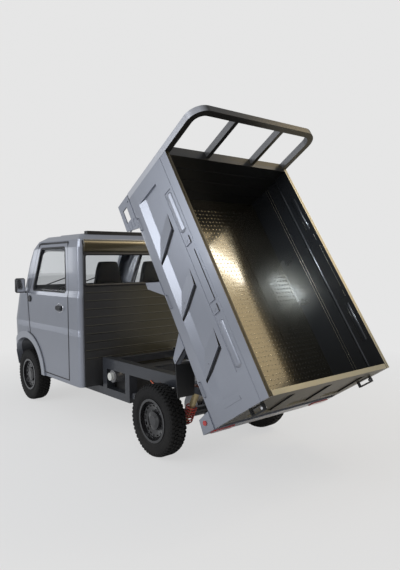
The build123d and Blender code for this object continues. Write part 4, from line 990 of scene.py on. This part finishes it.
hook_in, hook_out, hook_high, hook_radius = 0.630, 0.644, 0.118, 0.005
hook_long, hook_rears = 105, (205, 862.5, 1520)
for side, label in sides:
    bm = bmesh.new()
    bed_side(bm)
    into_bed(bm, side)
    panel = new_piece("bed_side_pressed_" + label, bm, "bed", "silver_paint", 28, bed_side_paint)
    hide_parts("bed_side_" + label)
    bm = bmesh.new()
    # Black strips in the louvres' slots, standing in as painted shade.
    for foot in louvre_feet:
        run_across(bm, [(foot - slot_wide, louvre_low), (foot, louvre_low), (foot + louvre_lean, louvre_high),
                        (foot + louvre_lean - slot_wide, louvre_high)], core, field + shade_strip_proud)
    into_bed(bm, side)
    new_piece("louvre_shade_strip_" + label, bm, "bed", "black_plastic")
    hooks = [[(along * milli, out, hook_high) for along, out in (
        (rear, hook_in), (rear, hook_out), (rear + hook_long, hook_out), (rear + hook_long, hook_in))]
             for rear in hook_rears]
    bm = strip_mesh(hooks, hook_radius, closed=False)
    into_bed(bm, side)
    new_piece("rope_hooks_" + label, bm, "bed", "silver_paint", 60)
print("bed side triangles", len(panel.data.polygons) * 2)

# %% [markdown]
# Under each side hang two stays for the mudguard, the rubber flap and the open bracket at the front.

# %% stays, flaps and front brackets
plate_in, plate_out, hang_low, bend_deep, bend_thick = 623, 633, -60, 45, 5
stay_lines, stay_bolt = ((680, 565, 560, 512), (980, 1095, 1120, 1180)), (-46, 6)
bracket_plates = (((1560, side_low), (1632, hang_low), (1680, hang_low), (1680, side_low)),
                  ((1795, side_low), (1795, hang_low), (1865, hang_low), (1865, side_low)),
                  ((1680, side_low), (1680, 40), (1795, 40), (1795, side_low)),
                  ((1680, -22), (1680, hang_low), (1795, hang_low), (1795, -22)))
rung_rear, rung_long, rung_low, rung_pitch, rung_tall = 1604, 56, -16, 36, 12
bracket_bolts, bracket_bolt = (1660, 1820), (70, 7)
hang = Vector((-math.sin(bed_tilt), -math.cos(bed_tilt)))
flap_top, flap_long, flap_thick, flap_sides = Vector((515, -60.5)), 235, 6, ((457, 470), (633, 618))
flap_foot, flap_thin = flap_top + hang * flap_long, Vector((hang.y, -hang.x)) * flap_thick
for side, label in sides:
    bm = bmesh.new()
    for foot, foot_end, tip, tip_end in stay_lines:
        inward = bend_thick if foot_end > foot else -bend_thick
        run_across(bm, [(foot, side_low), (foot_end, side_low), (tip_end, hang_low), (tip, hang_low)],
                   plate_in, plate_out)
        run_across(bm, [(foot_end, side_low), (tip_end, hang_low), (tip_end - inward, hang_low),
                        (foot_end - inward, side_low)], plate_out - bend_deep, plate_out)
        rod_across(bm, (tip + tip_end) / 2, *stay_bolt, plate_in, plate_out + 4)
    for corners in bracket_plates:
        run_across(bm, corners, plate_in, plate_out)
    for step in range(3):
        plate(bm, rung_rear, rung_long, rung_low + rung_pitch * step, rung_tall, plate_in, plate_out + 3)
    for along in bracket_bolts:
        rod_across(bm, along, *bracket_bolt, plate_in, plate_out + 5)
    into_bed(bm, side)
    stays = new_piece("bed_stays_" + label, bm, "bed", "silver_paint", 40)
    bm = bmesh.new()
    skin(bm, [[(flap_top.x, wide, flap_top.y), (flap_foot.x, narrow, flap_foot.y),
               (flap_foot.x + flap_thin.x, narrow, flap_foot.y + flap_thin.y),
               (flap_top.x + flap_thin.x, wide, flap_top.y + flap_thin.y)]
              for wide, narrow in flap_sides])
    into_bed(bm, side)
    flap = new_piece("mud_flap_" + label, bm, "bed", "flap_rubber")
    if side > 0:
        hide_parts("bed_brackets")
        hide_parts("mud_flaps")
print("stay faces", len(stays.data.polygons))

# %% [markdown]
# The cab's rear wall is corrugated. A thin raised bead runs along each groove, coloured lighter than the
# wall as a painted highlight, and a rounded header runs across above the window, its bronze colour a
# painted reflection of warm light.

# %% beads on the cab's rear wall
wall_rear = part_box("cab_rear_wall")[0].x
bead_top, bead_pitch, bead_count, bead_half = 1.188, 0.075, 9, 0.565
header_middle, header_half, header_reach, header_bulge = 1.612, 0.055, 0.572, 0.020
bead_in, bead_thick, bead_tall = 0.0008, 0.0035, 0.0045
bm = bmesh.new()
for row in range(bead_count):
    add_block(bm, (wall_rear + bead_in, 0, bead_top - bead_pitch * row),
              (bead_thick, 2 * bead_half, bead_tall), 0.001)
face_outward(bm)
new_piece("rear_wall_beads", bm, "chassis", "dark_paint", look=bead_highlight_paint)
bm = bmesh.new()
turns = [math.pi * step / 8 for step in range(9)]
bulge = [(wall_rear - header_bulge * math.sin(turn), header_middle - header_half * math.cos(turn))
         for turn in turns]
skin(bm, [[Vector((over, width, up)) / milli for over, up in bulge]
          for width in (-header_reach, header_reach)])
face_outward(bm)
new_piece("rear_header", bm, "chassis", "dark_paint", 40, header_reflection_paint)
print("beads", bead_count)

# %% [markdown]
# Small trim that the photograph shows: a dark step under each door, a cable in orange sleeving along the
# chassis rail and a brown hose near the bed's hinge.

# %% door steps, cable sleeve and hose
orange_sleeve = finish("orange_sleeve", (0.55, 0.10, 0.03), 0.0, 0.45, coat=0.3, soil=0.1, rounding=0)
brown_hose = finish("brown_hose", (0.085, 0.024, 0.012), 0.0, 0.34, coat=0.5, soil=0.1, rounding=0)
step_x, step_y, step_z, step_size, step_round = axle.x + 1.570, 0.505, 0.339, (0.470, 0.130, 0.062), 0.008
bm = bmesh.new()
for side in (-1, 1):
    add_block(bm, (step_x, step_y * side, step_z), step_size, step_round)
face_outward(bm)
new_piece("door_steps", bm, "chassis", "black_plastic")
rail_out = 0.440
loops = (("cable_sleeve", orange_sleeve, 0.0055, [(-0.575, 0.512), (-0.600, 0.496), (-0.640, 0.486),
                                                  (-0.680, 0.492), (-0.705, 0.512)]),
         ("brown_hose", brown_hose, 0.0100, [(-1.090, 0.560), (-1.150, 0.575), (-1.225, 0.562),
                                             (-1.285, 0.525), (-1.310, 0.480)]))
for label, paint, radius, places in loops:
    bm = strip_mesh([[(along, rail_out + radius * 0.8, height) for along, height in places]], radius,
                    closed=False, smooth=True)
    new_piece(label, bm, "chassis", "spring_red", 60, paint)
print("loops", len(loops))

# %% [markdown]
# The mirrors, door handles, latches and wipers are small, but each gives a highlight that the eye looks
# for: a pale glass, a bright rim round the handle's bowl, and a chrome pin on each latch.

# %% mirrors, handle rims, latch pins and wipers
mirror_middle, mirror_level, mirror_wide, mirror_tall = 0.688, 1.226, 0.104, 0.154
mirror_rear, mirror_front, mirror_round, mirror_edge = axle.x + 2.264, axle.x + 2.314, 0.014, 0.024
arm_x, arm_radius = mirror_front - 0.020, 0.009
arm_line = ((0.606, 1.146), (0.660, 1.165), (mirror_middle, mirror_level - mirror_tall * 0.40))
handle_x, handle_y, handle_z, handle_long, handle_tall = axle.x + 1.480, 0.6262, 1.030, 0.072, 0.040
for side, label in sides:
    bm = strip_mesh([[(arm_x, out * side, up) for out, up in arm_line]], arm_radius, closed=False,
                    smooth=True)
    add_block(bm, ((mirror_rear + mirror_front) / 2, mirror_middle * side, mirror_level),
              (mirror_front - mirror_rear, mirror_wide, mirror_tall), mirror_round)
    face_outward(bm)
    housing = new_piece("mirror_housing_" + label, bm, "chassis", "black_plastic", 50)
    if side > 0:
        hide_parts("mirrors")
    bm = bmesh.new()
    add_block(bm, (mirror_rear - 0.0012, mirror_middle * side, mirror_level),
              (0.0016, mirror_wide - mirror_edge, mirror_tall - mirror_edge), 0.0006)
    new_piece("mirror_face_" + label, bm, "chassis", "rod_chrome")
    ring = [(handle_x + handle_long * over, handle_y * side, handle_z + handle_tall * up)
            for over, up in circle(28)]
    bm = strip_mesh([ring], 0.0042)
    new_piece("handle_rim_" + label, bm, "door_" + label, "rod_chrome", 60)
    bm = bmesh.new()
    rod_across(bm, -24, 506, 9, 543, 577)
    into_bed(bm, side)
    new_piece("latch_pin_" + label, bm, "tailgate", "rod_chrome", 60)
glass_foot, glass_top = Vector((axle.x + 2.404, 0, 1.212)), Vector((axle.x + 2.156, 0, 1.606))
up_glass = (glass_top - glass_foot).normalized()
rest_on = glass_foot + Vector((up_glass.z, 0, -up_glass.x)) * 0.010
wipers = []
for foot_y, tip_y in ((0.34, -0.02), (-0.06, -0.42)):
    foot = rest_on + Vector((0, foot_y, 0))
    tip = rest_on + Vector((0, tip_y, 0)) + up_glass * 0.15
    wipers.append([foot, foot.lerp(tip, 0.7), tip])
bm = strip_mesh(wipers, 0.006, closed=False)
new_piece("wipers", bm, "chassis", "black_plastic", 60)
print("wipers", len(wipers))
